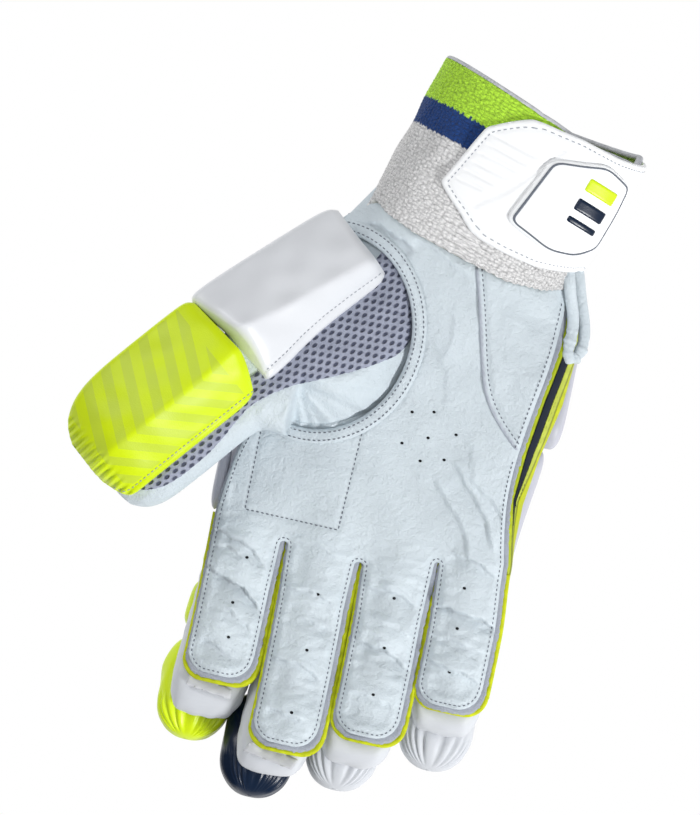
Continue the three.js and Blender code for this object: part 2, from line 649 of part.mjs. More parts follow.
// Thumb: it leaves the hand's room through the hole and rises over the palm's index side.
// x, y: middle line from the hole's middle. z: its height. wide and high: half sizes. turn: way of the thumb in plan, degrees from +X.
const THUMB = [
  { x: 26.4, y: 28.4, z: 33, wide: 32, high: 10.4, turn: 225 },
  { x: 16.6, y: 15.6, z: 36, wide: 34, high: 13, turn: 225 },
  { x: 2.5, y: 1.4, z: 42, wide: 33, high: 17, turn: 225 },
  { x: -10.9, y: -13.5, z: 50, wide: 29, high: 17, turn: 225 },
  { x: -19.3, y: -22, z: 56, wide: 23, high: 16, turn: 226 },
  { x: -29.6, y: -30.2, z: 60.5, wide: 18.5, high: 14.5, turn: 229 },
  { x: -41.9, y: -46.9, z: 62, wide: 18, high: 14.2, turn: 230.6 },
  { x: -54.5, y: -62.3, z: 62, wide: 18, high: 14, turn: 230.6 },
  { x: -60.6, y: -69.8, z: 61.5, wide: 17.4, high: 13.4, turn: 230.6 },
  { x: -64.8, y: -74.9, z: 61, wide: 14.6, high: 11.5, turn: 230.6 },
  { x: -67.2, y: -77.8, z: 60.5, wide: 9.5, high: 8, turn: 230.6 },
];
const fromHole = ([x, y, z = 0]) => [x + THUMB_HOLE.x, y + THUMB_HOLE.y, z];
const THUMB_POINTS = 12;
function thumbRings(grow, rows = THUMB) {
  return rows.map(({ x, y, z, wide, high, turn }, r) => {
    const heading = THREE.MathUtils.degToRad(turn);
    const [dx, dy] = [Math.cos(heading), Math.sin(heading)];
    const ahead = r === rows.length - 1 ? grow : 0;
    return Array.from({ length: THUMB_POINTS }, (_, i) => {
      const a = ((i + 0.5) / THUMB_POINTS) * 2 * Math.PI;
      const across = (wide + grow) * Math.sign(Math.cos(a)) * Math.abs(Math.cos(a)) ** 0.8;
      const up = (high + grow) * Math.sign(Math.sin(a)) * Math.abs(Math.sin(a)) ** 0.8;
      return fromHole([x - across * dy + ahead * dx, y + across * dx + ahead * dy, z + up]);
    });
  });
}
// The open end is carried on, so that a room cuts through it.
const openEnd = (rows) => [{ ...rows[0], x: rows[0].x + ABOVE, y: rows[0].y + ABOVE }, ...rows];
const thumbBody = (grow, rows = THUMB) => loft(thumbRings(grow, rows));
// Space that the thumb keeps free of the palm: the hole, and the rest above the leather and its rim.
function thumbSpace() {
  const rimHigh = draped(GAP + GAP + PATCH, ABOVE + 40);
  const edge = [[-FAR, -115], [-31.6, -115], [-31.6, -39], [-21, -31], [-16, 5], [-16, 45], [-FAR, 65]];
  const beside = prism(edge.map((p) => fromHole(p).slice(0, 2)));
  return join([holePrism(-GAP), rimHigh, beside]).subtract(cuffWall(GAP));
}
// The space over or under the seams down the thumb's two sides.
function thumbHalf(low, high) {
  const first = { ...THUMB[0], x: THUMB[0].x + ABOVE, y: THUMB[0].y + ABOVE };
  const end = THUMB[THUMB.length - 1];
  const rows = [first, ...THUMB, { ...end, x: end.x - ABOVE, y: end.y - ABOVE }];
  const level = (offset) =>
    rows.map(({ x, y, z }) => [-60, 60].map((n) => fromHole([x + n * Math.SQRT1_2, y - n * Math.SQRT1_2, z + offset])));
  return between(level(low), level(high));
}
function makeThumbSleeve(low, high) {
  const shell = thumbBody(0).subtract(thumbBody(-LEATHER, openEnd(THUMB)));
  return largest(shell.intersect(thumbSpace()).intersect(thumbHalf(low, high)));
}

// Mesh on the thumb's front: from beside the pads to the leather at the thumb's edge.
const MESH_EDGE = [
  { x: -60, y: -78 }, { x: -50, y: -76 }, { x: -41.8, y: -68.4 }, { x: -32.1, y: -56.2 }, { x: -26.4, y: -44.7 },
  { x: -22.2, y: -35.6 }, { x: -11.7, y: -27.3 }, { x: -6.2, y: -24.1 }, { x: 3.1, y: -20 }, { x: 14.3, y: -14.8 },
  { x: 28.8, y: -6.4 }, { x: 37, y: 1 }, { x: 37, y: 25 }, { x: 23, y: 41 }, { x: 13.2, y: 33.8 }, { x: 15.4, y: 19.6 },
  { x: 7, y: 9.7 }, { x: -9.5, y: -9 }, { x: -22.5, y: -23.4 }, { x: -25.9, y: -26 }, { x: -29.5, y: -33 },
  { x: -38.2, y: -49 }, { x: -47.3, y: -63 }, { x: -52.3, y: -69 }, { x: -56, y: -73 },
];
function makeThumbMesh() {
  const shell = thumbBody(GAP + MESH).subtract(thumbBody(GAP, openEnd(THUMB)));
  const front = prism(MESH_EDGE.map((p) => fromHole([p.x, p.y]).slice(0, 2)));
  const pieces = shell.intersect(front).intersect(thumbSpace()).decompose();
  const height = (b) => b.boundingBox().max[2] + b.volume() / 1e4;
  return pieces.reduce((a, b) => (height(a) > height(b) ? a : b));
}

// The two foam pads on the thumb's back: a ridge, a slope to each side and a deep outer side.
// at: along the thumb. left, ridge, right: across it. base: height of the sleeve's top. deep: outer side.
function thumbPad(turn, rows) {
  const heading = THREE.MathUtils.degToRad(turn);
  const [dx, dy] = [Math.cos(heading), Math.sin(heading)];
  return loft(
    rows.map(({ at, left, ridge, right, base, deep, full = 1 }) => {
      const top = THUMB_PAD_THICK * full;
      const section = [
        [right, base - 10],
        [right, base + 3 * full],
        [right - 1.5, base + 4.6 * full],
        [ridge + 1.6, base + top - 0.6],
        [ridge - 1.6, base + top - 0.6],
        [left + 2.6, base + top * 0.33],
        [left, base + top * 0.33 - 3],
        [left, base - deep * 0.8],
        [left + 3, base - deep],
        [left + 16, base - deep],
        [ridge + 4, base - 10],
        [ridge + 8, base - 10],
      ];
      return section.map(([n, z]) => fromHole([at * dx - n * dy, at * dy + n * dx, z]));
    }),
  );
}
const BASE_TURN = 225;
const BASE_PAD = [
  { at: -33, left: -37.2, ridge: -13.2, right: -5.2, base: 45, deep: 1, full: 0.75 },
  { at: -29, left: -39.7, ridge: -12.2, right: -2.2, base: 46.5, deep: 2, full: 1 },
  { at: -3, left: -39.7, ridge: -12.2, right: -0.2, base: 59, deep: 9, full: 1 },
  { at: 17, left: -37.2, ridge: -12.2, right: 3.8, base: 67, deep: 15, full: 1 },
  { at: 29, left: -35.2, ridge: -12.2, right: 5.3, base: 71, deep: 15, full: 1 },
  { at: 32.5, left: -33.2, ridge: -12.2, right: 5.8, base: 71.5, deep: 14, full: 0.9 },
];
const TIP_TURN = 230.6;
const TIP_PAD = [
  { at: 35.8, left: -40.1, ridge: -15.1, right: 2.9, base: 74.5, deep: 15, full: 0.9 },
  { at: 38.8, left: -42.1, ridge: -14.1, right: 4.9, base: 75, deep: 16, full: 1 },
  { at: 67.8, left: -42.1, ridge: -14.1, right: 4.9, base: 76.2, deep: 16, full: 1 },
  { at: 86.8, left: -41.1, ridge: -14.1, right: 4.9, base: 76, deep: 16, full: 0.97 },
  { at: 95.8, left: -37.1, ridge: -14.1, right: 3.9, base: 75, deep: 15, full: 0.85 },
  { at: 101.8, left: -29.1, ridge: -13.1, right: 0.9, base: 72.5, deep: 11, full: 0.62 },
  { at: 104.8, left: -22.1, ridge: -11.1, right: -3.1, base: 70, deep: 7, full: 0.4 },
];
function makeThumbPad(turn, rows) {
  const clear = thumbBody(GAP + MESH + GAP, openEnd(THUMB));
  const below = draped(DEEP, GAP + PATCH + GAP).intersect(wholePlan({ left: 3 }, 20));
  return largest(thumbPad(turn, rows).subtract(clear).subtract(below).subtract(cuffWall(GAP)));
}

// Knitted cuff. around: angle about its middle line. along: from its base. out: outward from its outer face.
const RIM = [
  { across: -1, along: 1.03 },
  { across: 0, along: 0.985 },
  { across: 1, along: 1.1 },
];
const CUFF_AROUND = 24;
const CUFF_ALONG = 3;
function shareAt(table, across) {
  const rows = [...table].sort((a, b) => a.across - b.across);
  const i = Math.min(rows.length - 2, Math.max(0, rows.findIndex((r) => r.across >= across) - 1));
  const [a, b] = [rows[i], rows[i + 1]];
  return mix(a.along, b.along, clamp01((across - a.across) / (b.across - a.across)));
}
function cuffAt(around, share, out, from = 0, to = 1) {
  const power = (v) => Math.sign(v) * Math.abs(v) ** 0.78;
  const [c, s] = [power(Math.cos(around)), power(Math.sin(around))];
  const front = smooth(0.5 + s);
  const back = (BACK_PAD_END + 2.4 - CUFF.y + c * CUFF.halfWidth * Math.sin(LEAN)) / Math.cos(LEAN);
  const base = mix(back, shareAt(SEAM, c) * CUFF_LENGTH, front);
  const rim = shareAt(RIM, c) * CUFF_LENGTH;
  const along = mix(base, rim, mix(from, to, share));
  const grown = CUFF_FLARE * clamp01(along / CUFF_LENGTH);
  const high = mix(CUFF.baseHalfHeight, CUFF.rimHalfHeight, clamp01(along / CUFF_LENGTH));
  const [x, y] = onCuff((CUFF.halfWidth + grown + out) * c, along);
  return [x, y, CUFF.z + (high + out) * s];
}
// A sleeve round the cuff between two distances from its outer face, over shares of its length.
function cuffRing(inner, outer, from, to, steps) {
  const shares = Array.from({ length: steps + 1 }, (_, i) => mix(from, to, i / steps));
  const loop = [...shares.map((t) => [t, outer]), ...shares.reverse().map((t) => [t, inner])];
  return wrap(
    loop.map(([t, out]) =>
      Array.from({ length: CUFF_AROUND }, (_, i) => cuffAt(((i + 0.5) / CUFF_AROUND) * 2 * Math.PI, t, out)),
    ),
  );
}
const cuffWall = (grow) => cuffRing(-KNIT - grow, grow, -grow / 60, 1 + grow / 60, 2);
const makeCuff = () => cuffRing(-KNIT, 0, 0, 1, CUFF_ALONG);
const makeBinding = () => cuffRing(-KNIT, -0.6, 1 + GAP / CUFF_LENGTH, 1 + (GAP + RIM_BINDING) / CUFF_LENGTH, 1);

// Strap: an arrow-ended flap over the front, round the little finger's side to the back.
const STRAP_FRONT = [
  { across: -0.48, along: 0.284 }, { across: -0.36, along: 0.743 }, { across: 0, along: 0.949 },
  { across: 0.41, along: 0.998 }, { across: 0.757, along: 1.033 }, { across: 1.3, along: 1.09 },
  { across: 1.3, along: 0.23 }, { across: 1.04, along: 0.25 }, { across: 0.86, along: 0.184 },
  { across: 0.6, along: 0.112 }, { across: 0.3, along: 0.088 }, { across: 0.03, along: 0.086 },
  { across: -0.19, along: 0.169 },
];
const BADGE_FRONT = [
  { across: 0.248, along: 0.78 }, { across: 0.68, along: 0.926 }, { across: 0.93, along: 0.887 },
  { across: 0.955, along: 0.687 }, { across: 0.96, along: 0.42 }, { across: 0.83, along: 0.289 },
  { across: 0.609, along: 0.23 }, { across: 0.164, along: 0.275 },
];
const cuffPlan = (table) => table.map((r) => onCuff(r.across * CUFF.halfWidth, r.along * CUFF_LENGTH));
function makeStrap() {
  const shell = cuffRing(GAP, GAP + STRAP, 0.02, 1.08, 2);
  const front = prism(cuffPlan(STRAP_FRONT), CUFF.z, 100);
  const behind = [
    [-STRAP_BACK / CUFF.halfWidth, 0.27],
    [-STRAP_BACK / CUFF.halfWidth, 0.9],
    [1.3, 1.06],
    [1.3, 0.23],
  ].map(([across, along]) => ({ across, along }));
  return largest(shell.intersect(front.add(prism(cuffPlan(behind), CUFF.z - 100, 100.01))));
}
function makeBadge() {
  const shell = cuffRing(GAP + STRAP + GAP, GAP + STRAP + GAP + BADGE, 0.02, 1, 2);
  return largest(shell.intersect(prism(cuffPlan(BADGE_FRONT), CUFF.z + 8, 100)));
}

// Pull loop: a flattened leather tube along a path, measured from the palm's corner at the wrist.
const LOOP_PATH = [
  { x: 0.4, y: 7, z: 42 }, { x: 2.4, y: -1.5, z: 37 }, { x: 6, y: -9.5, z: 33.6 }, { x: 6.4, y: -18, z: 35.3 },
  { x: 5.6, y: -24, z: 37.6 }, { x: 8, y: -26.6, z: 36.6 }, { x: 11.2, y: -23.5, z: 34.4 }, { x: 12, y: -16, z: 31.5 },
  { x: 11.2, y: -8.5, z: 30.5 }, { x: 8.8, y: -1, z: 32 }, { x: 5.9, y: 8, z: 36 },
];
function makeLoop() {
  const curve = new THREE.CatmullRomCurve3(LOOP_PATH.map((p) => new THREE.Vector3(p.x + FINGERS[3].right, p.y + WRIST_Y, p.z)));
  const steps = 14;
  const rings = Array.from({ length: steps + 1 }, (_, i) => {
    const at = curve.getPointAt(i / steps);
    const way = curve.getTangentAt(i / steps);
    const side = new THREE.Vector3(way.y, -way.x, 0).normalize();
    const up = new THREE.Vector3().crossVectors(side, way).normalize();
    const gather = 1 + 0.12 * (i % 2 ? 1 : -1) * Math.sin((i / steps) * Math.PI);
    return Array.from({ length: 8 }, (_, k) => {
      const a = ((k + 0.5) / 8) * 2 * Math.PI;
      const p = at.clone().addScaledVector(side, LOOP_RADIUS * gather * Math.cos(a));
      return p.addScaledVector(up, 0.8 * LOOP_RADIUS * gather * Math.sin(a)).toArray();
    });
  });
  return loft(rings);
}

// The glove, gathered from its pieces
const glove = new THREE.Group();
function add(name, solid, look) {
  const { vertProperties, triVerts } = solid.getMesh();
  const geometry = new THREE.BufferGeometry();
  geometry.setAttribute("position", new THREE.BufferAttribute(new Float32Array(vertProperties), 3));
  geometry.setIndex(new THREE.BufferAttribute(new Uint32Array(triVerts), 1));
  geometry.computeVertexNormals();
  const mesh = new THREE.Mesh(geometry, look);
  mesh.name = name;
  glove.add(mesh);
  return solid;
}

add("palm", makePalm(), PALM_LEATHER);
add("finger_welt", makeWelt(), GREY_SUEDE);
add("heel_patch", makeHeelPatch(), PALM_LEATHER);
add("thumb_rim", makeThumbRim(), PALM_LEATHER);
FINGERS.forEach((f, i) => add(`sleeve_${f.name}`, makeSleeve(f, i), LIME_FABRIC));
FINGERS.forEach((f, i) => add(`collar_${f.name}`, makeCollar(f, i), WHITE_PU));
let before = [];
for (const f of FINGERS) {
  const pads = fingerPads(f);
  for (const p of pads) {
    const body = before.reduce((s, other) => s.subtract(other), padBody(f, p, 0));
    add(`${p.name}_${f.name}`, largest(body), PAD_COLOURS[f.pad]);
  }
  before = pads.map((p) => padBody(f, p, GAP));
}
FINGERS.forEach((f, i) => add(`knuckle_pad_${f.name}`, makeKnucklePad(f, i), WHITE_PU));
BACK_PADS.forEach((p) => add(p.name, makeBackPad(p), WHITE_PU));
add("side_guard", makeSideGuard(), WHITE_PU);
add("index_guard", makeIndexGuard(), WHITE_PU);
const lining = makeBackLining().subtract(thumbBody(GAP, openEnd(THUMB))).subtract(cuffWall(GAP));
add("back_lining", largest(lining), BACK_FABRIC);
add("side_strip", makeSideStrip(), LIME_FABRIC);
add("thumb_sleeve_front", makeThumbSleeve(GAP / 2, FAR), PALM_LEATHER);
add("thumb_sleeve_back", makeThumbSleeve(-FAR, -GAP / 2), PALM_LEATHER);
add("thumb_mesh", makeThumbMesh(), GREY_MESH);
add("thumb_base_pad", makeThumbPad(BASE_TURN, BASE_PAD), WHITE_PU);
add("thumb_tip_pad", makeThumbPad(TIP_TURN, TIP_PAD), LIME_PU);
add("cuff", makeCuff(), GREY_KNIT);
add("cuff_binding", makeBinding(), GREY_MESH);
add("strap", makeStrap(), WHITE_PU);
add("strap_badge", makeBadge(), WHITE_PU);
add("pull_loop", makeLoop(), PALM_LEATHER);

// The origin goes to the middle of the glove's box, on the surface that it lies on.
const box = new THREE.Box3().setFromObject(glove);
const centre = box.getCenter(new THREE.Vector3());
for (const mesh of glove.children) mesh.geometry.translate(-centre.x, -centre.y, -box.min.z);

export default glove;
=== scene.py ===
"""A right-hand cricket batting glove lying on its padded back, palm up, on a white sweep.

Shapes are worked out in millimetres in the glove's own frame: +X to the little finger's side,
+Y to the wrist, +Z out of the palm. place() then moves them to the row frame in metres.
"""

import json
import math

import bpy
import numpy as np
from mathutils import Matrix, Vector
from mathutils.bvhtree import BVHTree
from mathutils.geometry import delaunay_2d_cdt

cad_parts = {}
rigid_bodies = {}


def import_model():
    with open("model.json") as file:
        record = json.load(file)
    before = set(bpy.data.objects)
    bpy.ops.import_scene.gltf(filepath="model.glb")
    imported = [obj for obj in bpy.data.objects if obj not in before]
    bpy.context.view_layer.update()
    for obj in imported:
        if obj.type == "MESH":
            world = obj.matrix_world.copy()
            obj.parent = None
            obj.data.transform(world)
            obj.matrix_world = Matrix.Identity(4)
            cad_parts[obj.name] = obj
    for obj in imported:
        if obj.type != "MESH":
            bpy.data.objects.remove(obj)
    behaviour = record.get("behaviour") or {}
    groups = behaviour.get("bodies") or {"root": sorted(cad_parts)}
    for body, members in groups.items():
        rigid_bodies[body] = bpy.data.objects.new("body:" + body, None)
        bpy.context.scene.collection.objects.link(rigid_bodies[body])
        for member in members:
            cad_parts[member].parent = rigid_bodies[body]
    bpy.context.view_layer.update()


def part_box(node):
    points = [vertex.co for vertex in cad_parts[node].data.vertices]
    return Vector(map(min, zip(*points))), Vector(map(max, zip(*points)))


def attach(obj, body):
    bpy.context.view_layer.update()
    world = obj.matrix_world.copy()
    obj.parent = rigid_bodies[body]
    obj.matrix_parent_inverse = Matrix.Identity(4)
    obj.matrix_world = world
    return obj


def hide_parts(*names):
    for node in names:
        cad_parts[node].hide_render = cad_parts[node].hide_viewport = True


bpy.ops.object.select_all(action="SELECT")
bpy.ops.object.delete()
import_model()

# --- sizes shared with the solids, in mm ---
KNUCKLE_Y, CURL_R, PALM_Z = -22.0, 250.0, 46.0
PALM_L, PALM_W = 112.0, 118.0
WRIST_Y = KNUCKLE_Y + PALM_L
FLARE, FLARE_LENGTH, TIP_R = 1.6, 40.0, 9.0
HOLE = dict(x=-31.0, y=WRIST_Y - 35, rx=35.5, ry=40.0)
CUFF = dict(x=18.0, y=WRIST_Y + 8.9, half=43.2, base=21.0, rim=25.0, z=30.0, flare=1.7, length=61.0)
LEAN = math.radians(18)
PAD_TOP = 23.5
WRAP = 36.0  # mm of flat pattern per radian round the cuff
CHUNK = 3000  # plan points measured at a time
FINGERS = [  # left, right: leather's edges; slot: crotch on the little side; drift: lean of the padding
    dict(name="index", left=-57.0, right=-30.8, length=67.3, slot=9.0, collar=13.0, cap=18.7, drift=7.0, pad="lime_pu"),
    dict(name="middle", left=-25.6, right=0.4, length=89.4, slot=11.0, collar=7.7, cap=12.4, drift=8.5, pad="navy_pu"),
    # ring and little pads use cap_pu, the white cover painted greyer as painted shade
    dict(name="ring", left=5.6, right=31.4, length=79.2, slot=4.5, collar=8.1, cap=13.7, drift=6.5, pad="cap_pu"),
    dict(name="little", left=35.4, right=61.0, length=60.7, slot=4.5, collar=7.6, cap=18.2, drift=0.8, pad="cap_pu"),
]
LITTLE_SIDE = [(0, -0.014), (0.06, -0.026), (0.23, -0.055), (0.41, -0.044), (0.6, -0.02), (0.78, 0.01), (0.97, 0.013)]
INDEX_SIDE = [(0.37, -0.09), (0.28, -0.042), (0.15, -0.014), (0, 0)]
SEAM = [(1, 0.095), (0.82, 0.01), (0.5, -0.06), (0, -0.08), (-0.5, -0.085), (-0.8, -0.06), (-1, 0.0)]
RIM = [(-1, 1.03), (0, 0.985), (1, 1.1)]
THUMB = np.array([  # x, y from the hole's middle, z, half width, half height
    (26.4, 28.4, 33, 32, 10.4), (16.6, 15.6, 36, 34, 13), (2.5, 1.4, 42, 33, 17), (-10.9, -13.5, 50, 29, 17),
    (-19.3, -22, 56, 23, 16), (-29.6, -30.2, 60.5, 18.5, 14.5), (-41.9, -46.9, 62, 18, 14.2),
    (-54.5, -62.3, 62, 18, 14), (-60.6, -69.8, 61.5, 17.4, 13.4), (-64.8, -74.9, 61, 14.6, 11.5),
    (-67.2, -77.8, 60.5, 9.5, 8),
])  # fmt: skip

# The shift to the row frame comes from the palm's right edge, the index guard's end and the floor.
SHIFT = np.array([
    FINGERS[3]["right"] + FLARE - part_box("palm")[1].x * 1000,
    6.0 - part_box("index_guard")[1].y * 1000,
    0.0,
])  # fmt: skip
rng = np.random.default_rng(7)


def place(p):
    """Row frame in metres = (glove frame - SHIFT) / 1000."""
    return (np.asarray(p, float) - SHIFT) * 0.001


def smooth(t):
    """3t^2 - 2t^3 between 0 and 1."""
    t = np.clip(t, 0, 1)
    return t * t * (3 - 2 * t)


def mix(a, b, t):
    """a at t = 0, b at t = 1."""
    return a + (b - a) * t


def bell(d, width):
    """exp(-(d / width)^2)."""
    return np.exp(-((d / width) ** 2))


def power(v, k):
    """sign(v) |v|^k, which squares a circle's cosine or sine off to a superellipse's."""
    return np.sign(v) * np.abs(v) ** k


def circle(n):
    """n even angles round a circle."""
    return np.linspace(0, 2 * math.pi, n, endpoint=False)


def xyz(*parts):
    """Coordinates spread to one shape and joined as points."""
    return np.stack(np.broadcast_arrays(*parts), -1)


def over(p, z):
    """Plan points with a height each."""
    return np.column_stack([p, z])


def unit(v):
    """Vectors over their lengths."""
    return v / np.linalg.norm(v, axis=-1, keepdims=True)


def curl(p):
    """Beyond the knuckle line: angle = (KNUCKLE_Y - y) / R and arm = R + PALM_Z - z, about an axis over the palm."""
    x, y, z = np.moveaxis(p, -1, 0)
    a = np.maximum(0, KNUCKLE_Y - y) / CURL_R
    arm = CURL_R + PALM_Z - z
    return xyz(x, np.where(a > 0, KNUCKLE_Y - arm * np.sin(a), y), np.where(a > 0, PALM_Z + CURL_R - arm * np.cos(a), z))

def ripples(p, wavelength, count, seed):
    """Sum of count sine waves with random directions, lengths within a factor of 1.5 and phases; about -1 to 1."""
    r = np.random.default_rng(seed)
    turn = r.uniform(0, math.pi, count)
    k = 2 * math.pi / (wavelength * r.uniform(0.7, 1.5, count))
    phase = r.uniform(0, 2 * math.pi, count)
    arg = p[..., 0, None] * (k * np.cos(turn)) + p[..., 1, None] * (k * np.sin(turn)) + phase
    return np.sin(arg).sum(-1) / math.sqrt(count)


def on_cuff(across, along):
    """Plan point from the cuff's own directions, which lean by LEAN."""
    x = CUFF["x"] + across * math.cos(LEAN) + along * math.sin(LEAN)
    y = CUFF["y"] - across * math.sin(LEAN) + along * math.cos(LEAN)
    return xyz(x, y)


def seam_at(share):
    """mm along the cuff where the palm's seam runs, at a share of the cuff's half width."""
    return np.interp(share, *np.array(SEAM[::-1]).T) * CUFF["length"]

def palm_z(x, y):
    """Palm leather: curl's rise + a crown on each finger - the palm's hollow - the wrist's sides sinking."""
    beyond = np.maximum(0, KNUCKLE_Y - y)
    rise = CURL_R - np.sqrt(CURL_R**2 - beyond**2)
    mids = np.array([(f["left"] + f["right"]) / 2 for f in FINGERS])
    halves = np.array([(f["right"] - f["left"]) / 2 + FLARE for f in FINGERS])
    off = np.abs(x[..., None] - mids)
    near = off.argmin(-1)
    share = np.minimum(1, np.take_along_axis(off, near[..., None], -1)[..., 0] / halves[near])
    crown = 1.6 * np.cos(math.pi * share) * smooth((KNUCKLE_Y + 16 - y) / 32)
    hollow = 2.5 * np.exp(-(((x - 16) / 26) ** 2) - ((y - 30) / 34) ** 2)
    across = (x - CUFF["x"]) * math.cos(LEAN) - (y - CUFF["y"]) * math.sin(LEAN)
    side = np.minimum(1.2, np.abs(across / CUFF["half"])) ** 3
    return PALM_Z + rise + crown - hollow - 12 * smooth((y - 50) / 50) * side


def spline(ctrl, n, closed=False, axis=0):
    """Cubic B-spline through n samples of the control rows; open ends are kept by repeating them."""
    c = np.moveaxis(np.asarray(ctrl, float), axis, 0)
    if closed:
        c, t = np.concatenate([c, c[:3]]), np.arange(n) / n * len(c)
    else:
        c = np.concatenate([c[:1], c[:1], c, c[-1:], c[-1:]])
        t = np.linspace(0, len(c) - 3, n)
    i = np.minimum(t.astype(int), len(c) - 4)
    u = (t - i).reshape(-1, *[1] * (c.ndim - 1))
    w = [(1 - u) ** 3, 3 * u**3 - 6 * u**2 + 4, -3 * u**3 + 3 * u**2 + 3 * u + 1, u**3]
    return np.moveaxis(sum(w[k] * c[i + k] for k in range(4)) / 6, 0, axis)


def run_along(line):
    """Length from the line's start to each of its points."""
    return np.concatenate([[0], np.cumsum(np.linalg.norm(np.diff(line, axis=0), axis=1))])


def resample(line, step=None, n=None, closed=False):
    """The polyline sampled evenly by length."""
    line = np.concatenate([line, line[:1]]) if closed else np.asarray(line, float)
    run = run_along(line)
    n = n or max(3, int(round(run[-1] / step)) + 1)
    at = np.linspace(0, run[-1], n)[: n - 1 if closed else n]
    return xyz(*(np.interp(at, run, c) for c in line.T))


def through(ctrl, n, fine=400):
    """A smooth line near the control points, n samples evenly by length."""
    return resample(spline(ctrl, fine), n=n)


def normals_2d(line, closed=False):
    """Left-hand unit normals of a plan line."""
    d = np.roll(line, -1, 0) - np.roll(line, 1, 0) if closed else np.gradient(line, axis=0)
    x, y = (d / (np.linalg.norm(d, axis=1, keepdims=True) + 1e-9)).T
    return xyz(-y, x)


def inset(loop, by, step=0.5, frayed=0.0):
    """The closed outline sampled every step mm and moved inward by `by`, and at random by about frayed."""
    loop = resample(loop, step, closed=True)
    (x, y), (x2, y2) = loop.T, np.roll(loop, -1, 0).T
    inward = normals_2d(loop, True) * np.sign((x * y2 - x2 * y).sum())
    return loop + inward * (by + frayed * rng.standard_normal((len(loop), 1)) if frayed else by)


def sides(loops):
    """Start and end of every side of the closed loops."""
    return np.concatenate(loops), np.concatenate([np.roll(l, -1, 0) for l in loops])


def distance(p, a, b):
    """Distance from each plan point to the nearest of the segments from a to b."""
    ab, best = b - a, []
    for part in np.array_split(p, len(p) // CHUNK + 1):
        ap = part[:, None] - a
        t = np.clip((ap * ab).sum(-1) / ((ab**2).sum(-1) + 1e-12), 0, 1)
        best.append(np.sqrt(((ap - t[..., None] * ab) ** 2).sum(-1).min(1)))
    return np.concatenate(best)


def line_distance(p, line):
    """Distance from each plan point to an open polyline."""
    return distance(p, line[:-1], line[1:])


def inside(p, loops):
    """Even-odd tests: which plan points lie in the first closed loop and in none of the others, its holes."""
    hits = []
    for loop in loops:
        (ax, ay), (bx, by) = loop.T, np.roll(loop, -1, 0).T
        odd = []
        for part in np.array_split(p, len(p) // CHUNK + 1):
            x, y = part[:, :1], part[:, 1:]
            left = x < ax + (y - ay) * (bx - ax) / (by - ay + 1e-12)
            odd.append((((ay > y) != (by > y)) & left).sum(1) % 2 == 1)
        hits.append(np.concatenate(odd))
    return hits[0] & ~np.any(hits[1:], 0)


# --- materials ---
def hexa(code):
    """sRGB hex to linear RGBA."""
    v = np.array([int(code[i : i + 2], 16) / 255 for i in (0, 2, 4)])
    return (*np.where(v <= 0.04045, v / 12.92, ((v + 0.055) / 1.055) ** 2.4), 1.0)


def empty(name):
    """A material with no nodes yet."""
    mat = bpy.data.materials.new(name)
    mat.use_nodes = True
    mat.node_tree.nodes.clear()
    return mat


def add(mat, kind, inputs, out=0, **settings):
    """Adds a node with its settings, and its sockets set to values or linked; gives the output asked for."""
    node = mat.node_tree.nodes.new("ShaderNode" + kind)
    for key, value in settings.items():
        setattr(node, key, value)
    for key, value in inputs.items():
        if isinstance(value, bpy.types.NodeSocket):
            mat.node_tree.links.new(value, node.inputs[key])
        else:
            node.inputs[key].default_value = value
    return node.outputs[out] if node.outputs else None


def surface(mat, layers, **values):
    """Ends a material: bumps in series from (height, depth in mm), then the shader and the output."""
    normal = {}
    for height, depth in layers:
        normal = {"Normal": add(mat, "Bump", {"Height": height, "Distance": depth / 1000, "Strength": 1.0, **normal})}
    values = {key.replace("_", " "): value for key, value in values.items()}
    add(mat, "OutputMaterial", {"Surface": add(mat, "BsdfPrincipled", values | normal)})
    return mat


SHADE = dict(out=2, data_type="RGBA", blend_type="MULTIPLY")


def leather(name, color, rough, grain, depth, worn=0.06, spec=0.4, creased=0.0, tinted=False):
    """Grained leather or coated cover: cells of grain mm, soft wrinkles over them and slight uneven colour.
    creased is the depth in mm of fine creases, the valleys of |noise - 0.5|."""
    mat = empty(name)
    at = add(mat, "TexCoord", {}, "Object")
    cells = add(mat, "TexVoronoi", {"Vector": at, "Scale": 1000 / grain})
    fine = add(mat, "TexNoise", {"Vector": at, "Scale": 1000 / (grain * 5), "Detail": 5.0, "Roughness": 0.55})
    wide = add(mat, "TexNoise", {"Vector": at, "Scale": 1000 / 28, "Detail": 3.0, "Roughness": 0.55})
    base = add(mat, "Attribute", {}, "Color", attribute_name="tint") if tinted else color
    soil = (1 - worn, 1 - worn * 0.9, 1 - worn * 0.8, 1)
    layers = [(cells, depth), (fine, depth * 2.5)]
    for mm, share in ((7, 1.0), (2.6, 0.5)) if creased else ():
        vein = add(mat, "TexNoise", {"Vector": at, "Scale": 1000 / mm, "Detail": 5.0, "Roughness": 0.6})
        vein = add(mat, "Math", {0: vein, 1: 0.5}, operation="SUBTRACT")
        vein = add(mat, "Math", {0: vein}, operation="ABSOLUTE")
        layers.append((add(mat, "Math", {0: vein, 1: 9.0}, operation="MULTIPLY", use_clamp=True), creased * share))
    base = add(mat, "Mix", {"Factor": wide, 6: base, 7: soil}, **SHADE)
    return surface(mat, layers, Base_Color=base, Roughness=rough, Specular_IOR_Level=spec)


def suede(name, color, nap):
    """Napped suede: short fuzz nap mm wide, no shine."""
    mat = empty(name)
    at = add(mat, "TexCoord", {}, "Object")
    fuzz = add(mat, "TexNoise", {"Vector": at, "Scale": 1000 / nap, "Detail": 6.0, "Roughness": 0.7})
    base = add(mat, "Mix", {"Factor": fuzz, 6: color, 7: (0.62, 0.62, 0.62, 1)}, **SHADE)
    return surface(mat, [(fuzz, 0.5)], Base_Color=base, Roughness=1.0, Specular_IOR_Level=0.1)


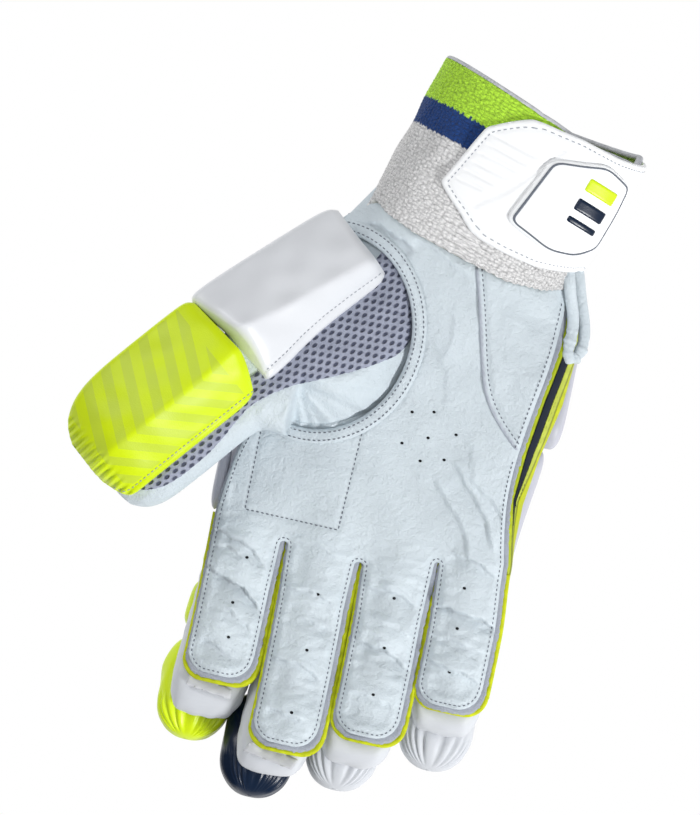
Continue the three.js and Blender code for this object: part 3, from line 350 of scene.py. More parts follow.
def weave(name, color, pitch, tinted=False):
    """Woven cloth: two crossed waves, darker where the waves and the fuzz sit low, as painted shade between threads.
    Threads pitch mm apart are too fine to show, so they are 2 pi times as wide.
    """
    mat = empty(name)
    at = add(mat, "TexCoord", {}, "Object")
    wave = {"Vector": at, "Scale": 50 / pitch, "Distortion": 1.5, "Detail Scale": 2.0}
    warp, weft = (add(mat, "TexWave", wave, "Fac", bands_direction=way) for way in "XY")
    both = add(mat, "Math", {0: warp, 1: weft}, operation="MULTIPLY")
    fuzz = add(mat, "TexNoise", {"Vector": at, "Scale": 1000 / 6, "Detail": 4.0, "Roughness": 0.55})
    # painted shade: down to 0.72 where the crossed waves and the fuzz are low
    shade = add(mat, "Math", {0: fuzz, 1: 0.6}, operation="MULTIPLY")
    shade = add(mat, "Math", {0: both, 1: 0.5, 2: shade}, operation="MULTIPLY_ADD")
    shade = add(mat, "MapRange", {"Value": shade, "To Min": 0.72})
    base = add(mat, "Attribute", {}, "Color", attribute_name="tint") if tinted else color
    base = add(mat, "Mix", {"Factor": 1.0, 6: base, 7: shade}, **SHADE)
    return surface(mat, [(both, 0.12), (fuzz, 0.35)], Base_Color=base, Roughness=0.85)


def knit(name):
    """Chunky knit: loops 1.8 mm apart in rows of 1.3 mm, coloured by tint, with painted shade darkening the gaps
    between loops; mm holds (round, along).
    """
    mat = empty(name)
    flat = add(mat, "Attribute", {}, "Vector", attribute_name="mm")
    flat = add(mat, "VectorMath", {0: flat, 1: (1 / 1.8, 1 / 1.3, 0)}, operation="MULTIPLY")
    wobble = add(mat, "TexNoise", {"Vector": flat, "Scale": 0.9, "Detail": 2.0}, "Color")
    moved = add(mat, "VectorMath", {0: flat, 1: wobble}, operation="ADD")
    loops = add(mat, "TexVoronoi", {"Vector": moved, "Scale": 1.0, "Randomness": 0.55}, voronoi_dimensions="2D")
    height = add(mat, "Math", {0: 1.0, 1: loops}, operation="SUBTRACT")
    strand = add(mat, "TexNoise", {"Vector": flat, "Scale": 6.0, "Detail": 3.0})
    # painted shade: the low gaps between loops go down to 0.66 of the colour
    shade = add(mat, "MapRange", {"Value": height, "From Min": 0.3, "From Max": 0.75, "To Min": 0.66})
    tint = add(mat, "Attribute", {}, "Color", attribute_name="tint")
    base = add(mat, "Mix", {"Factor": 1.0, 6: tint, 7: shade}, **SHADE)
    return surface(mat, [(height, 1.1), (strand, 0.3)], Base_Color=base, Roughness=0.9, Sheen_Weight=0.1)


def striped(name):
    """Coated cover with duller chevrons every 9.4 mm, bent at the pad's ridge; mm holds (along, across)."""
    mat = empty(name)
    at = add(mat, "TexCoord", {}, "Object")
    flat = add(mat, "Attribute", {}, "Vector", attribute_name="mm")
    value = {axis: add(mat, "SeparateXYZ", {0: flat}, axis) for axis in "XY"}
    for result, operation, *terms in (
        ("side", "ADD", "Y", 12.6), ("up", "MAXIMUM", "side", 0.0), ("down", "MINIMUM", "side", 0.0),
        ("down", "MULTIPLY_ADD", "down", -0.46, "X"), ("slant", "MULTIPLY_ADD", "up", 1.02, "down"),
        ("stripe", "PINGPONG", "slant", 4.7), ("ends", "COMPARE", "X", 69.5, 29.5), ("edge", "COMPARE", "Y", -19.7, 21.3),
        ("field", "MULTIPLY", "ends", "edge"),
    ):  # fmt: skip
        value[result] = add(mat, "Math", {i: value.get(v, v) for i, v in enumerate(terms)}, operation=operation)
    on = add(mat, "MapRange", {"Value": value["stripe"], "From Min": 2.256, "From Max": 2.444, "To Max": 0.7})
    dull = add(mat, "Math", {0: on, 1: value["field"]}, operation="MULTIPLY")
    wide = add(mat, "TexNoise", {"Vector": at, "Scale": 1000 / 30, "Detail": 3.0, "Roughness": 0.55})
    base = add(mat, "Mix", {"Factor": wide, 6: LIME, 7: (0.86, 0.86, 0.86, 1)}, **SHADE)
    base = add(mat, "Mix", {"Factor": dull, 6: base, 7: hexa("bfd43c")}, 2, data_type="RGBA")
    cells = add(mat, "TexVoronoi", {"Vector": at, "Scale": 1000 / 0.5})
    wrinkles = add(mat, "TexNoise", {"Vector": at, "Scale": 1000 / 2.4, "Detail": 4.0, "Roughness": 0.55})
    return surface(mat, [(cells, 0.03), (wrinkles, 0.06)], Base_Color=base, Roughness=0.42, Specular_IOR_Level=0.3)


def spacer(name):
    """Spacer mesh: staggered oval holes 4.2 mm apart in rows of 2.2 mm, painted dark inside as the shade in each hole;
    mm holds (along, across).
    """
    mat = empty(name)
    at = add(mat, "TexCoord", {}, "Object")
    flat = add(mat, "Attribute", {}, "Vector", attribute_name="mm")
    value = {axis: add(mat, "SeparateXYZ", {0: flat}, axis) for axis in "XY"}
    for result, operation, *terms in (
        ("row", "DIVIDE", "Y", 2.2), ("row", "FLOOR", "row"), ("odd", "PINGPONG", "row", 1.0),
        ("u", "MULTIPLY_ADD", "odd", 2.1, "X"), ("u", "ADD", "u", 2.1), ("u", "PINGPONG", "u", 2.1),
        ("v", "ADD", "Y", 1.1), ("v", "PINGPONG", "v", 1.1), ("u", "DIVIDE", "u", 1.3), ("v", "DIVIDE", "v", 0.78),
    ):  # fmt: skip
        value[result] = add(mat, "Math", {i: value.get(v, v) for i, v in enumerate(terms)}, operation=operation)
    hole = add(mat, "CombineXYZ", {0: value["u"], 1: value["v"]})
    hole = add(mat, "VectorMath", {0: hole}, "Value", operation="LENGTH")
    solid = add(mat, "MapRange", {"Value": hole, "From Min": 0.55, "From Max": 1.1})
    thread = add(mat, "TexNoise", {"Vector": at, "Scale": 1000 / 0.9, "Detail": 3.0, "Roughness": 0.55})
    cloth = add(mat, "Mix", {"Factor": thread, 6: hexa("80859b"), 7: hexa("b2b7c6")}, 2, data_type="RGBA")
    # painted shade: the holes are coloured dark grey-blue
    base = add(mat, "Mix", {"Factor": solid, 6: hexa("474c60"), 7: cloth}, 2, data_type="RGBA")
    return surface(mat, [(solid, 0.8), (thread, 0.25)], Base_Color=base, Roughness=0.9)

WHITE, COOL, GREY = hexa("e2e4e8"), hexa("d0dae0"), hexa("bcc2cd")
LIME, LIME_CLOTH, NAVY = hexa("d8f000"), hexa("d2dc10"), hexa("051c36")
MATS = {mat.name.split(".")[0]: mat for mat in (  # Blender adds .001 where a solid's material has the name
    # dressed sheepskin: fine grain, small creases, half matt
    leather("palm_leather", COOL, 0.5, 0.55, 0.03, worn=0.07, creased=0.17),
    # the tinted copy takes each point's colour: on the palm it holds painted shade and light, on the heel the raw grey
    # edge
    leather("palm_leather_tinted", COOL, 0.5, 0.55, 0.03, worn=0.07, creased=0.17, tinted=True),
    # polyurethane-coated covers: nearly smooth, with a soft gloss
    leather("white_pu", WHITE, 0.36, 0.4, 0.012, worn=0.03, spec=0.5),
    # strap_pu is the white cover painted brighter: painted light on the strap and badge
    leather("strap_pu", hexa("fafbfc"), 0.36, 0.4, 0.012, worn=0.02, spec=0.5),
    # cap_pu is the white cover painted greyer: painted shade for the collars and pads on the shaded underside
    leather("cap_pu", hexa("d0d3d8"), 0.5, 0.4, 0.012, worn=0.04, spec=0.3),
    # guard_pu is the white cover painted lavender-grey: painted shade, for pads seen mostly on their shaded sides
    leather("guard_pu", hexa("c0c1cc"), 0.4, 0.4, 0.012, worn=0.04, spec=0.3),
    leather("lime_pu", LIME, 0.38, 0.4, 0.015, worn=0.05, spec=0.5),
    leather("navy_pu", NAVY, 0.28, 0.4, 0.012, worn=0.1, spec=0.4),
    striped("lime_striped"),
    # cut suede: dull, with a short nap
    suede("grey_suede", GREY, 0.7),
    # polyester cloth: dull, with a faint weave
    weave("lime_fabric", LIME_CLOTH, 0.8),
    weave("lime_fabric_tinted", LIME_CLOTH, 0.8, tinted=True),
    weave("binding", hexa("d6d8dd"), 0.9),
    weave("lining_fabric", hexa("d9dcdf"), 0.9),
    # polyester spacer mesh, and acrylic yarn knitted thick
    spacer("grey_mesh"),
    knit("grey_knit"),
    # twisted thread, and painted shade for the dark inside of a pinhole
    leather("thread", hexa("6a707b"), 0.7, 0.3, 0.02),
    leather("thread_pale", hexa("a9aeb6"), 0.7, 0.3, 0.02),
    leather("pinhole", hexa("17181c"), 0.9, 0.3, 0.01),
)}  # fmt: skip


# --- meshes ---
def build(name, verts, faces, mat, nodes=(), slot=None, tint=None, mm=None):
    """One piece from arrays; faces is a list of (n, 3) or (n, 4) arrays, tint its colours, mm its flat places.
    A piece with a solid's name replaces the solid."""
    if name in bpy.data.objects:
        name, nodes = name + "_skin", [name]
    mesh = bpy.data.meshes.new(name)
    loops = np.concatenate([f.ravel() for f in faces])
    totals = np.concatenate([np.full(len(f), f.shape[1]) for f in faces])
    mesh.vertices.add(len(verts))
    mesh.vertices.foreach_set("co", place(verts).astype(np.float32).ravel())
    mesh.loops.add(len(loops))
    mesh.loops.foreach_set("vertex_index", loops.astype(np.int32))
    mesh.polygons.add(len(totals))
    mesh.polygons.foreach_set("loop_start", np.concatenate([[0], np.cumsum(totals)[:-1]]).astype(np.int32))
    mesh.polygons.foreach_set("loop_total", totals.astype(np.int32))
    mesh.materials.append(MATS[mat])
    mesh.update(calc_edges=True)
    mesh.validate()
    mesh.shade_smooth()
    if tint is not None:
        mesh.attributes.new("tint", "FLOAT_COLOR", "POINT").data.foreach_set("color", tint.astype(np.float32).ravel())
    if mm is not None:
        flat = over(mm, np.zeros(len(mm))).astype(np.float32)
        mesh.attributes.new("mm", "FLOAT_VECTOR", "POINT").data.foreach_set("vector", flat.ravel())
    obj = bpy.data.objects.new(name, mesh)
    bpy.context.scene.collection.objects.link(obj)
    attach(obj, "root")
    if nodes:
        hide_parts(*nodes)
    return obj


def grid_faces(m, n, close_m=False, close_n=False):
    """Quads over an m by n grid of vertices."""
    i = np.arange(m if close_m else m - 1)[:, None]
    j = np.arange(n if close_n else n - 1)
    i2, j2 = (i + 1) % m, (j + 1) % n
    return xyz(i * n + j, i2 * n + j, i2 * n + j2, i * n + j2).reshape(-1, 4)


def loft(name, rings, mat, closed=True, caps=True, nodes=(), **flat):
    """A skin over rings of points, turned outward by the volume it encloses; each end is closed to its middle."""
    m, n = rings.shape[:2]
    if closed:
        a, b, c = rings[:-1], np.roll(rings[:-1], -1, 1), rings[1:]
        if (np.cross(b - a, c - a) * (a - rings.mean((0, 1)))).sum() > 0:
            rings, flat = rings[:, ::-1], {key: value[:, ::-1] for key, value in flat.items()}
    verts, faces = rings.reshape(-1, 3), [grid_faces(m, n, close_n=closed)]
    flat = {key: value.reshape(m * n, -1) for key, value in flat.items()}
    if caps:
        j, k = np.arange(n), (np.arange(n) + 1) % n
        faces += [xyz(m * n, j, k), xyz(m * n + 1, (m - 1) * n + k, (m - 1) * n + j)]
        verts = np.concatenate([verts, rings[[0, -1]].mean(1)])
        flat = {key: np.concatenate([value, value[[0, -1]]]) for key, value in flat.items()}
    return build(name, verts, faces, mat, nodes, **flat)


def cloth(name, rings, mat, wall=1.2, **flat):
    """An open skin given its wall inward."""
    mod = loft(name, rings, mat, closed=False, caps=False, **flat).modifiers.new("wall", "SOLIDIFY")
    mod.thickness, mod.offset = wall * 0.001, -1


def panel(name, outline, holes, step, lift, thick, mat, roll=0.6, mapping=over, slot=None, **fields):
    """A sheet cut to outline and holes: a triangulated field of points step mm apart, lifted by lift(p, d),
    where d is the distance to the cut edge; its edge rolls down by up to roll mm and it is thick mm deep."""
    loops = [resample(l, step * 0.85, closed=True) for l in [outline, *holes]]
    lo, hi = loops[0].min(0), loops[0].max(0)
    gx, gy = np.meshgrid(np.arange(lo[0], hi[0], step), np.arange(lo[1], hi[1], step * 0.866))
    gx[1::2] += step / 2
    field = xyz(gx.ravel(), gy.ravel())
    field = field + rng.uniform(-0.06, 0.06, field.shape) * step
    field = field[inside(field, loops)]
    field = field[distance(field, *sides(loops)) > step * 0.5]
    edges, at = [], 0
    for loop in loops:
        k = np.arange(len(loop))
        edges += xyz(at + k, at + (k + 1) % len(loop)).tolist()
        at += len(loop)
    cut = delaunay_2d_cdt([Vector(v) for v in np.concatenate([*loops, field])], edges, [], 0, 1e-6)
    p, tri = np.array([v[:] for v in cut[0]]), np.array(cut[2])
    tri = tri[inside(p[tri].mean(1), loops)]
    d, n = distance(p, *sides(loops)), len(p)
    z = lift(p, d)
    upper, lower = mapping(p, z - roll * (1 - smooth(d / (1.6 * roll)))), mapping(p, z - thick)
    ways = np.concatenate([tri[:, [0, 1]], tri[:, [1, 2]], tri[:, [2, 0]]])
    _, first, count = np.unique(np.sort(ways, 1), axis=0, return_index=True, return_counts=True)
    rim = ways[first[count == 1]]
    wall = xyz(rim[:, 0], rim[:, 0] + n, rim[:, 1] + n, rim[:, 1])
    flat = {key: np.tile(value(p, d), (2, 1)) for key, value in fields.items()}
    return build(name, np.concatenate([upper, lower]), [tri, tri[:, ::-1] + n, wall], mat, slot=slot, **flat)


def drop(rings):
    """Height of a closed skin over plan points, found by rays from above; none where the skin is missed."""
    tree = BVHTree.FromPolygons(rings.reshape(-1, 3).tolist(), grid_faces(*rings.shape[:2], close_n=True).tolist())

    def height(p):
        hits = [tree.ray_cast(Vector((x, y, 300)), Vector((0, 0, -1)))[0] for x, y in p]
        return np.array([h.z if h else np.nan for h in hits])

    return height


STITCHES, PALE = [], []


def stitch(line, place_on, pitch=2.0, length=1.25, radius=0.24, to=STITCHES):
    """Adds dashes of thread along a plan line: each is a closed spindle of 4 rings."""
    line = resample(line, 0.4)
    run = np.arange(len(line)) * 0.4
    starts = np.arange(pitch * 0.3, run[-1] - length, pitch)
    t = starts[:, None] + length * np.array([0, 0.22, 0.78, 1])
    at = xyz(*(np.interp(t, run, c) for c in line.T))
    mid = place_on(at.reshape(-1, 2)).reshape(*at.shape[:2], 3)
    mid[..., 2] += np.array([-0.12, 0.1, 0.1, -0.12])
    way = unit(mid[:, -1] - mid[:, 0])
    side = unit(np.cross(way, [0, 0, 1.0]))
    up, a = np.cross(side, way), circle(5)[:, None]
    ring = side[:, None, None] * np.cos(a) + up[:, None, None] * np.sin(a)
    to.append(mid[:, :, None] + ring * radius * np.array([0.35, 1, 1, 0.35])[:, None, None])
# --- outlines in plan ---
def finger_path(f, g):
    """Down the left edge of a finger's leather, round its tip and up the right edge, grown by g. The edges flare
    towards the knuckles, but not on the hand's outer sides, and bulge as a slow sine."""
    x0, x1 = f["left"] - g["left"], f["right"] + g["right"]
    tip = KNUCKLE_Y - CURL_R * np.sin(f["length"] / CURL_R) - g["tip"]
    waist = KNUCKLE_Y + TIP_R - FLARE_LENGTH
    flare = lambda y: FLARE * np.clip((y - waist) / FLARE_LENGTH, 0, 1)
    bulge = lambda y: 0.35 * np.sin((y - tip) / 17.0)
    yl = np.linspace(g["from_left"], tip + TIP_R, 40)
    yr = np.linspace(tip + TIP_R, g["from_right"], 40)
    a = np.linspace(math.pi, 1.5 * math.pi, 10)
    arc_x, arc_y = TIP_R + TIP_R * np.cos(a), tip + TIP_R + TIP_R * np.sin(a)
    left = xyz(x0 - flare(yl) * (f is not FINGERS[0]) + bulge(yl), yl)
    right = xyz(x1 + (flare(yr) if f is not FINGERS[3] else -1.5 * smooth((yr + 52) / 30)) + bulge(yr), yr)
    return np.concatenate([left, xyz(x0 + arc_x, arc_y)[1:-1], xyz(x1 - arc_x, arc_y)[::-1], right])


def side_line(table, base, sign):
    """Edge of the palm from rows of (share of the palm's length, share of its width)."""
    t = np.array(table)
    return xyz(base + sign * t[:, 1] * PALM_W, KNUCKLE_Y + t[:, 0] * PALM_L)


def glove_outline(grow, tuck):
    """The whole palm: index side, four fingers with their crotches, little side and wrist."""
    g = dict(left=0.0, right=0.0, tip=0.0, crotch=0.0) | grow
    corner = on_cuff(-1.12 * CUFF["half"], -0.24 * CUFF["length"]) - [g["left"], 0]
    parts = [corner[None], through(side_line(INDEX_SIDE, FINGERS[0]["left"], -1) - [g["left"], 0], 30)]
    for i, f in enumerate(FINGERS):
        slots = [KNUCKLE_Y - (FINGERS[k]["slot"] - g["crotch"] + 1.2) for k in (i - 1, i)]
        ends = dict(from_left=slots[0] if i else KNUCKLE_Y - 4, from_right=slots[1] if i < 3 else KNUCKLE_Y - 2)
        path = finger_path(f, g | ends)
        if i:
            a, b = parts[-1][-1], path[0]
            turn = np.linspace(math.pi, 0, 7)[1:-1]
            parts.append(xyz((a[0] + b[0]) / 2 + (b[0] - a[0]) / 2 * np.cos(turn), a[1] + 1.2 * np.sin(turn)))
        parts.append(path)
    parts.append(through(side_line(LITTLE_SIDE, FINGERS[3]["right"], 1) + [g["right"], 0], 60))
    seam = np.array(SEAM)
    wrist = on_cuff(seam[:, 0] * CUFF["half"], seam[:, 1] * CUFF["length"] + tuck)
    return np.concatenate([*parts, through(wrist, 60)[2:]])


def ellipse(grow, n=160, a0=0.0, a1=2 * math.pi):
    """Ellipse round the thumb hole, grown by grow; less than a full turn keeps its end point."""
    a = np.linspace(a0, a1, n, endpoint=a1 - a0 < 6)
    return xyz(HOLE["x"] + (HOLE["rx"] + grow) * np.cos(a), HOLE["y"] + (HOLE["ry"] + grow) * np.sin(a))


def rounded(corners, r):
    """A closed outline with its corners cut in towards a radius of about r, each as a quadratic Bezier curve."""
    u, out = np.linspace(0, 1, 7)[:, None], []
    for a, b, c in zip(np.roll(corners, 1, 0), corners, np.roll(corners, -1, 0)):
        to_a, to_c = (v / np.linalg.norm(v) * min(r, np.linalg.norm(v) * 0.45) for v in (a - b, c - b))
        out.append((1 - u) ** 2 * (b + to_a) + 2 * u * (1 - u) * b + u**2 * (b + to_c))
    return np.concatenate(out)


# Folds of the palm leather: a line from (x0, y0) to (x1, y1), its depth and its width
FOLDS = [
    (-57.5, -47, -31.5, -60, 3.0, 1.5), (-57.5, -31, -34, -42, 1.7, 1.4), (-55, -76, -38, -81, 0.9, 1.2),
    (-56, -38, -44, -40, 0.8, 1.0), (-46, -62, -33, -70, 0.9, 1.1), (-25.6, -76.5, -2, -82, 1.5, 1.3),
    (-25, -49, -4, -51, 1.2, 1.2), (-22, -97, -6, -100, 1.0, 1.2), (-16, -60, -1, -64, 0.8, 1.1),
    (-25, -30, -6, -33, 0.8, 1.4), (5.6, -63, 31, -71, 1.8, 1.3), (6, -42, 30, -46, 1.3, 1.3),
    (9, -84, 28, -87, 0.9, 1.1), (12, -54, 29, -58, 0.7, 1.1), (35, -44, 61, -48, 2.8, 1.5),
    (36, -66, 60, -71, 1.8, 1.3), (38, -22, 58, -28, 1.5, 1.4), (40, -56, 58, -59, 0.9, 1.1),
    (30, 14, 54, -18, 1.4, 2.6), (24, 6, 46, -24, 1.0, 2.4), (36, 10, 56, -6, 0.9, 2.0), (-52, -24, -54, 6, 0.4, 2.4),
    (12, 62, 24, 34, 0.4, 3.4), (18, 78, 18, 52, 0.4, 3.4), (34, 24, 40, 8, 0.5, 2.4), (-4, 98, 22, 86, 0.6, 2.6),
    (-22, 101, -2, 93, 1.6, 2.4), (40, 60, 56, 40, 0.35, 2.6), (38, 76, 54, 66, 0.35, 2.6),
]  # fmt: skip


def folds(p):
    """Sum of creases: the wrist side bulges over a sharp step, the finger side is hollow below it."""
    z = np.zeros(len(p))
    for x0, y0, x1, y1, depth, width in FOLDS:
        ab = np.array([x1 - x0, y1 - y0])
        size = np.linalg.norm(ab)
        t = ((p - [x0, y0]) @ ab) / size**2
        n = ((p - [x0, y0]) @ [-ab[1], ab[0]]) / size
        n = n - size * 0.06 * np.sin(t * math.pi) + 0.5 * np.sin(t * 9 + x0) + 0.25 * np.sin(t * 23 + y0)
        step = smooth((n + 0.4 * width) / (0.8 * width))
        bulge = 0.85 * step * np.exp(-np.maximum(n, 0) / (4 * width))
        hollow = 0.95 * (1 - step) * np.exp(np.minimum(n, 0) / (2.6 * width))
        z += depth * smooth((0.56 - np.abs(t - 0.5)) / 0.2) * (bulge - hollow)
    return z
HOLES = np.array([
    (10.8, 30.1), (19.4, 31.9), (9.4, 17.1), (19.2, 21.3), (29.9, 24.8), (18, 11.6), (27.3, 14),
    (-41.7, -40.4), (-43.5, -59.1), (-42.2, -72.8), (-10.9, -48.9), (-10.6, -71.4), (-11.4, -96.5),
    (19.2, -44.2), (19.4, -64.2), (18.9, -83.1), (45.8, -34.4), (46.3, -50.7), (46.8, -68.2),
])  # fmt: skip
RECT = np.array([(-46.8, 12.5), (-46.5, -21.7), (-8.4, -22.2), (-7.1, 18.1)])


def leather_z(p, d):
    """Palm leather: folds, ripples, the fingers' shallow cups, pinhole dimples and the puff beside every seam."""
    x, y = p.T
    fingers = smooth((KNUCKLE_Y + 10 - y) / 25)
    z = palm_z(x, y) + folds(p)
    z += ripples(p, 17, 10, 3) * mix(0.18, 0.28, fingers) + ripples(p, 6, 14, 4) * mix(0.05, 0.1, fingers)
    z += ripples(p * [0.4, 1.4], 4.5, 16, 5) * 0.26 * fingers * smooth(ripples(p, 30, 6, 6) + 0.8)
    cups = np.sin(y / 3.9 + 1.9 * np.floor((x + 58) / 31)) + 0.4 * np.sin(y / 2.3 + x / 9)
    z += 0.75 * cups * smooth((-35 - y) / 14) * smooth(d / 6)
    z -= 0.45 * bell(np.sqrt(((p[:, None] - HOLES) ** 2).sum(-1)).min(1), 0.8)
    z -= 0.5 * bell(d - 1.4, 0.7) * mix(0.4, 1, fingers)
    z += 0.45 * bell(d - 3.6, 1.6) * fingers
    return z - 0.35 * bell(line_distance(p, RECT), 0.8)


def plain_z(p):
    """The palm's plain surface over plan points."""
    return palm_z(*p.T)


def palm_painted_shade_and_light(p, d):
    """Leather colour x (0.99 + 0.075 per mm above the plain surface): painted shade makes hollows and creases a little
    darker, and painted light makes raised folds a little brighter.
    """
    share = 0.99 + 0.075 * np.clip(leather_z(p, d) - plain_z(p), -2.4, 0.8)
    return over(np.outer(share, COOL[:3]), np.ones(len(p)))


palm_loop = glove_outline({}, 4.0)
panel("palm", palm_loop, [ellipse(0)], 0.95, leather_z, 1.5, "palm_leather_tinted", roll=0.55, tint=palm_painted_shade_and_light)
# Pinholes: dark octagons just over the leather's dimples, painted shade for the inside of each hole
a = circle(8)
pins = (HOLES[:, None] + xyz(0.72 * np.cos(a), 0.6 * np.sin(a))).reshape(-1, 2)
octagons = np.arange(len(pins)).reshape(-1, 8)
quads = [octagons[:, corners] for corners in ([0, 1, 2, 3], [0, 3, 4, 7], [4, 5, 6, 7])]
build("palm_pinholes", over(pins, leather_z(pins, 9.0) + 0.12), quads, "pinhole")

# Grey suede welt: a thin strip under the leather's edge, its own edge rough
welt = inset(glove_outline(dict(left=0.8, right=1.9, tip=2.0), 0.0), 0, 0.7, frayed=-0.16)
inner = resample(glove_outline(dict(left=-3.0, right=-3.0, tip=-3.0, crotch=3.5), -3.0), 1.2, closed=True)
welt_z = lambda p, d: plain_z(p) - 1.75 + ripples(p, 9, 8, 11) * 0.12
panel("finger_welt", welt, [inner], 0.9, welt_z, 1.0, "grey_suede", roll=0.25)

# Heel patch, with the seam's raw grey edge
HEEL = [(23.5, 91.7), (27.3, 79.4), (31.4, 63.9), (35.1, 48.4), (39.5, 39.1), (46.7, 30.4), (54.2, 23.8)]
heel_line = through(HEEL, 70)
heel_side = side_line(LITTLE_SIDE, FINGERS[3]["right"], 1)[3:]
share = np.linspace(0.96, 0.2, 20)
heel_loop = [through(heel_side, 40) - [0.5, 0], on_cuff(share * CUFF["half"], seam_at(share) + 1), heel_line]


def heel_z(p, d):
    """Above the plain palm, with half of its folds, sunk along the seam's stitches and puffed beside them."""
    seam = line_distance(p, heel_line)
    z = plain_z(p) + 1.2 + ripples(p, 15, 10, 8) * 0.3 + ripples(p, 5, 12, 9) * 0.08 + folds(p) * 0.5
    return z - 0.5 * bell(seam - 2.6, 0.7) + 0.3 * bell(seam - 5, 1.8)


def heel_tint(p, d):
    """Leather colour, and the raw grey of its cut edge within 1.5 mm of the seam."""
    return mix(np.array(COOL), np.array(GREY), smooth((1.5 - line_distance(p, heel_line)) / 0.5)[:, None])


panel("heel_patch", np.concatenate(heel_loop), [], 0.9, heel_z, 1.1, "palm_leather_tinted", tint=heel_tint)

# Raised band round the thumb hole
band = np.concatenate([ellipse(0.1, 90, -2.15, 1.75), ellipse(6.0, 90, -2.15, 1.75)[::-1]])
band_z = lambda p, d: plain_z(p) + 1.3 + 0.25 * np.sin(np.clip(d, 0, 3) / 3 * 1.57) + ripples(p, 7, 10, 21) * 0.12
panel("thumb_rim", band, [], 0.7, band_z, 1.1, "palm_leather")

# Stitching on the palm
edge_line = inset(palm_loop, 1.35)
stop = np.nonzero((edge_line[:, 1] < 21) & (edge_line[:, 0] > 50))[0].max()
first = np.nonzero(edge_line[:, 1] < 16)[0].min()
on_heel = lambda p: over(p, heel_z(p, 3.0))
on_band = lambda p: over(p, band_z(p, 1.5))
stitch(edge_line[first:stop], lambda p: over(p, leather_z(p, 1.4)), pitch=1.9)
stitch(resample(RECT, 0.5), lambda p: over(p, leather_z(p, 9.0) + 0.1))
stitch(heel_line + normals_2d(heel_line) * 2.6, on_heel)
stitch(through(heel_side - [1.9, 0], 60), on_heel)
for grow in (1.5, 4.6):
    stitch(ellipse(grow, 200, -2.1, 1.7), on_band)

# --- fingers: sleeves, collars, rolls and caps ---
SLEEVE_IN, SLEEVE_TIP, FLANGE_TIPS = 1.4, 1.2, (3.6, 3.6, 3.2, 2.6)
LEVELS = [(-8, 24.1), (-4, 24.1), (-1.2, 24.9), (-0.1, 28), (0, 33), (0.1, 38), (0, 41.3)]  # mm out, height
COLLAR = [
    (0.02, 24.4), (0.5, 24.2), (0.9, 24.6), (1.03, 27), (1.05, 31), (0.97, 35), (0.72, 38), (0.3, 39.2), (0.02, 39.4),
]  # fmt: skip
COLLAR_ENDS = [(0, 1), (0.35, 1), (0.62, 1), (0.8, 0.97), (0.9, 0.88), (0.965, 0.72), (1, 0.5)]
PLEATS = (0.26, 0.26, 0.2, 0.2)


def sleeve_widths(f):
    """Distances from the knuckle line, and the sleeve's half widths there as shares."""
    tip = f["length"] - SLEEVE_TIP
    return np.array([(3, 1), (tip * 0.5, 1), (tip - 11, 1), (tip - 5, 0.88), (tip - 1.6, 0.64), (tip, 0.4)]).T


def u_line(s, half, mid, n):
    """Plan line down the left side, round the tip and up the right, from half widths at distances s."""
    return spline(np.concatenate([xyz(mid - half, -s), xyz(mid + half, -s)[::-1]]), n)


for i, f in enumerate(FINGERS):
    name = f["name"]
    x0, x1 = f["left"] + SLEEVE_IN, f["right"]
    mid, half = (x0 + x1) / 2, (x1 - x0) / 2
    # cloth wall: out from the floor's edge, up to the seam, and rippled; then the floor
    s, w = sleeve_widths(f)
    path = resample(u_line(s, half * w, mid, 500), n=220)
    run = np.arange(220)[:, None] * np.linalg.norm(path[1] - path[0])
    away, high = spline(LEVELS, 22).T
    ripple = 0.35 * np.sin(run / 3.1 + 1.2 * np.sin(run / 9.0)) * smooth((high - 24) / 8)
    plan = path[:, None] - normals_2d(path)[:, None] * (away + ripple)[..., None]
    cloth(f"sleeve_{name}", curl(xyz(plan[..., 0], KNUCKLE_Y + plan[..., 1], high)), "lime_fabric")
    s = mix(3, f["length"] - 4, np.linspace(0, 1, 30))[:, None]
    floor = xyz(mid + (half - 6.5) * np.linspace(-1, 1, 10), KNUCKLE_Y - s, 25.3)
    cloth(f"sleeve_{name}_floor", curl(floor), "lime_fabric")
    # lime seam allowance, its edge corded
    start = dict(from_left=KNUCKLE_Y - 3.4, from_right=KNUCKLE_Y - 3.4)
    outer = finger_path(f, dict(left=1.7, right=3.5, tip=FLANGE_TIPS[i]) | start)
    hole = finger_path(f, dict(left=-1.6, right=-0.4, tip=-1.4) | start)
    cord_z = lambda p, d: plain_z(p) - 2.9 + 0.35 * bell(d - 0.8, 0.6) + ripples(p, 5, 10, 31) * 0.12
    panel(f"sleeve_{name}_flange", np.concatenate([outer, hole[::-1]]), [], 0.75, cord_z, 1.2, "lime_fabric", roll=0.5)
    # white padded collar: a closed section between the sleeve's wall and an outer line, puckered
    t, w = np.array(COLLAR_ENDS).T
    lean = f["drift"] * t**1.5
    o0, o1 = x0 - 2.4 - lean * 0.75, x1 + 2.4 - lean * 0.35
    po = u_line(mix(12, f["length"] + f["collar"], t), (o1 - o0) / 2 * w, (o0 + o1) / 2, 240)
    s = mix(12, f["length"] - 0.8, t)
    pi = u_line(s, (half + 0.4) * np.interp(s, *sleeve_widths(f)), mid, 240)
    share, high = spline(COLLAR, 26).T
    run = run_along(po)[:, None]
    pucker = 0.3 * np.sin(run / 1.7 + 1.5 * np.sin(run / 7)) * smooth((27 - high) / 3)
    pucker = (pucker + 0.2 * ripples(xyz(run, high), 9, 8, 40 + i)) * smooth(share * 1.5 - 0.5)
    plan = pi[:, None] + (po - pi)[:, None] * share[:, None] - normals_2d(po)[:, None] * pucker[..., None]
    # collars take the greyer cover, painted shade
    loft(f"collar_{name}", curl(xyz(plan[..., 0], KNUCKLE_Y + plan[..., 1], high)), "cap_pu", caps=False)


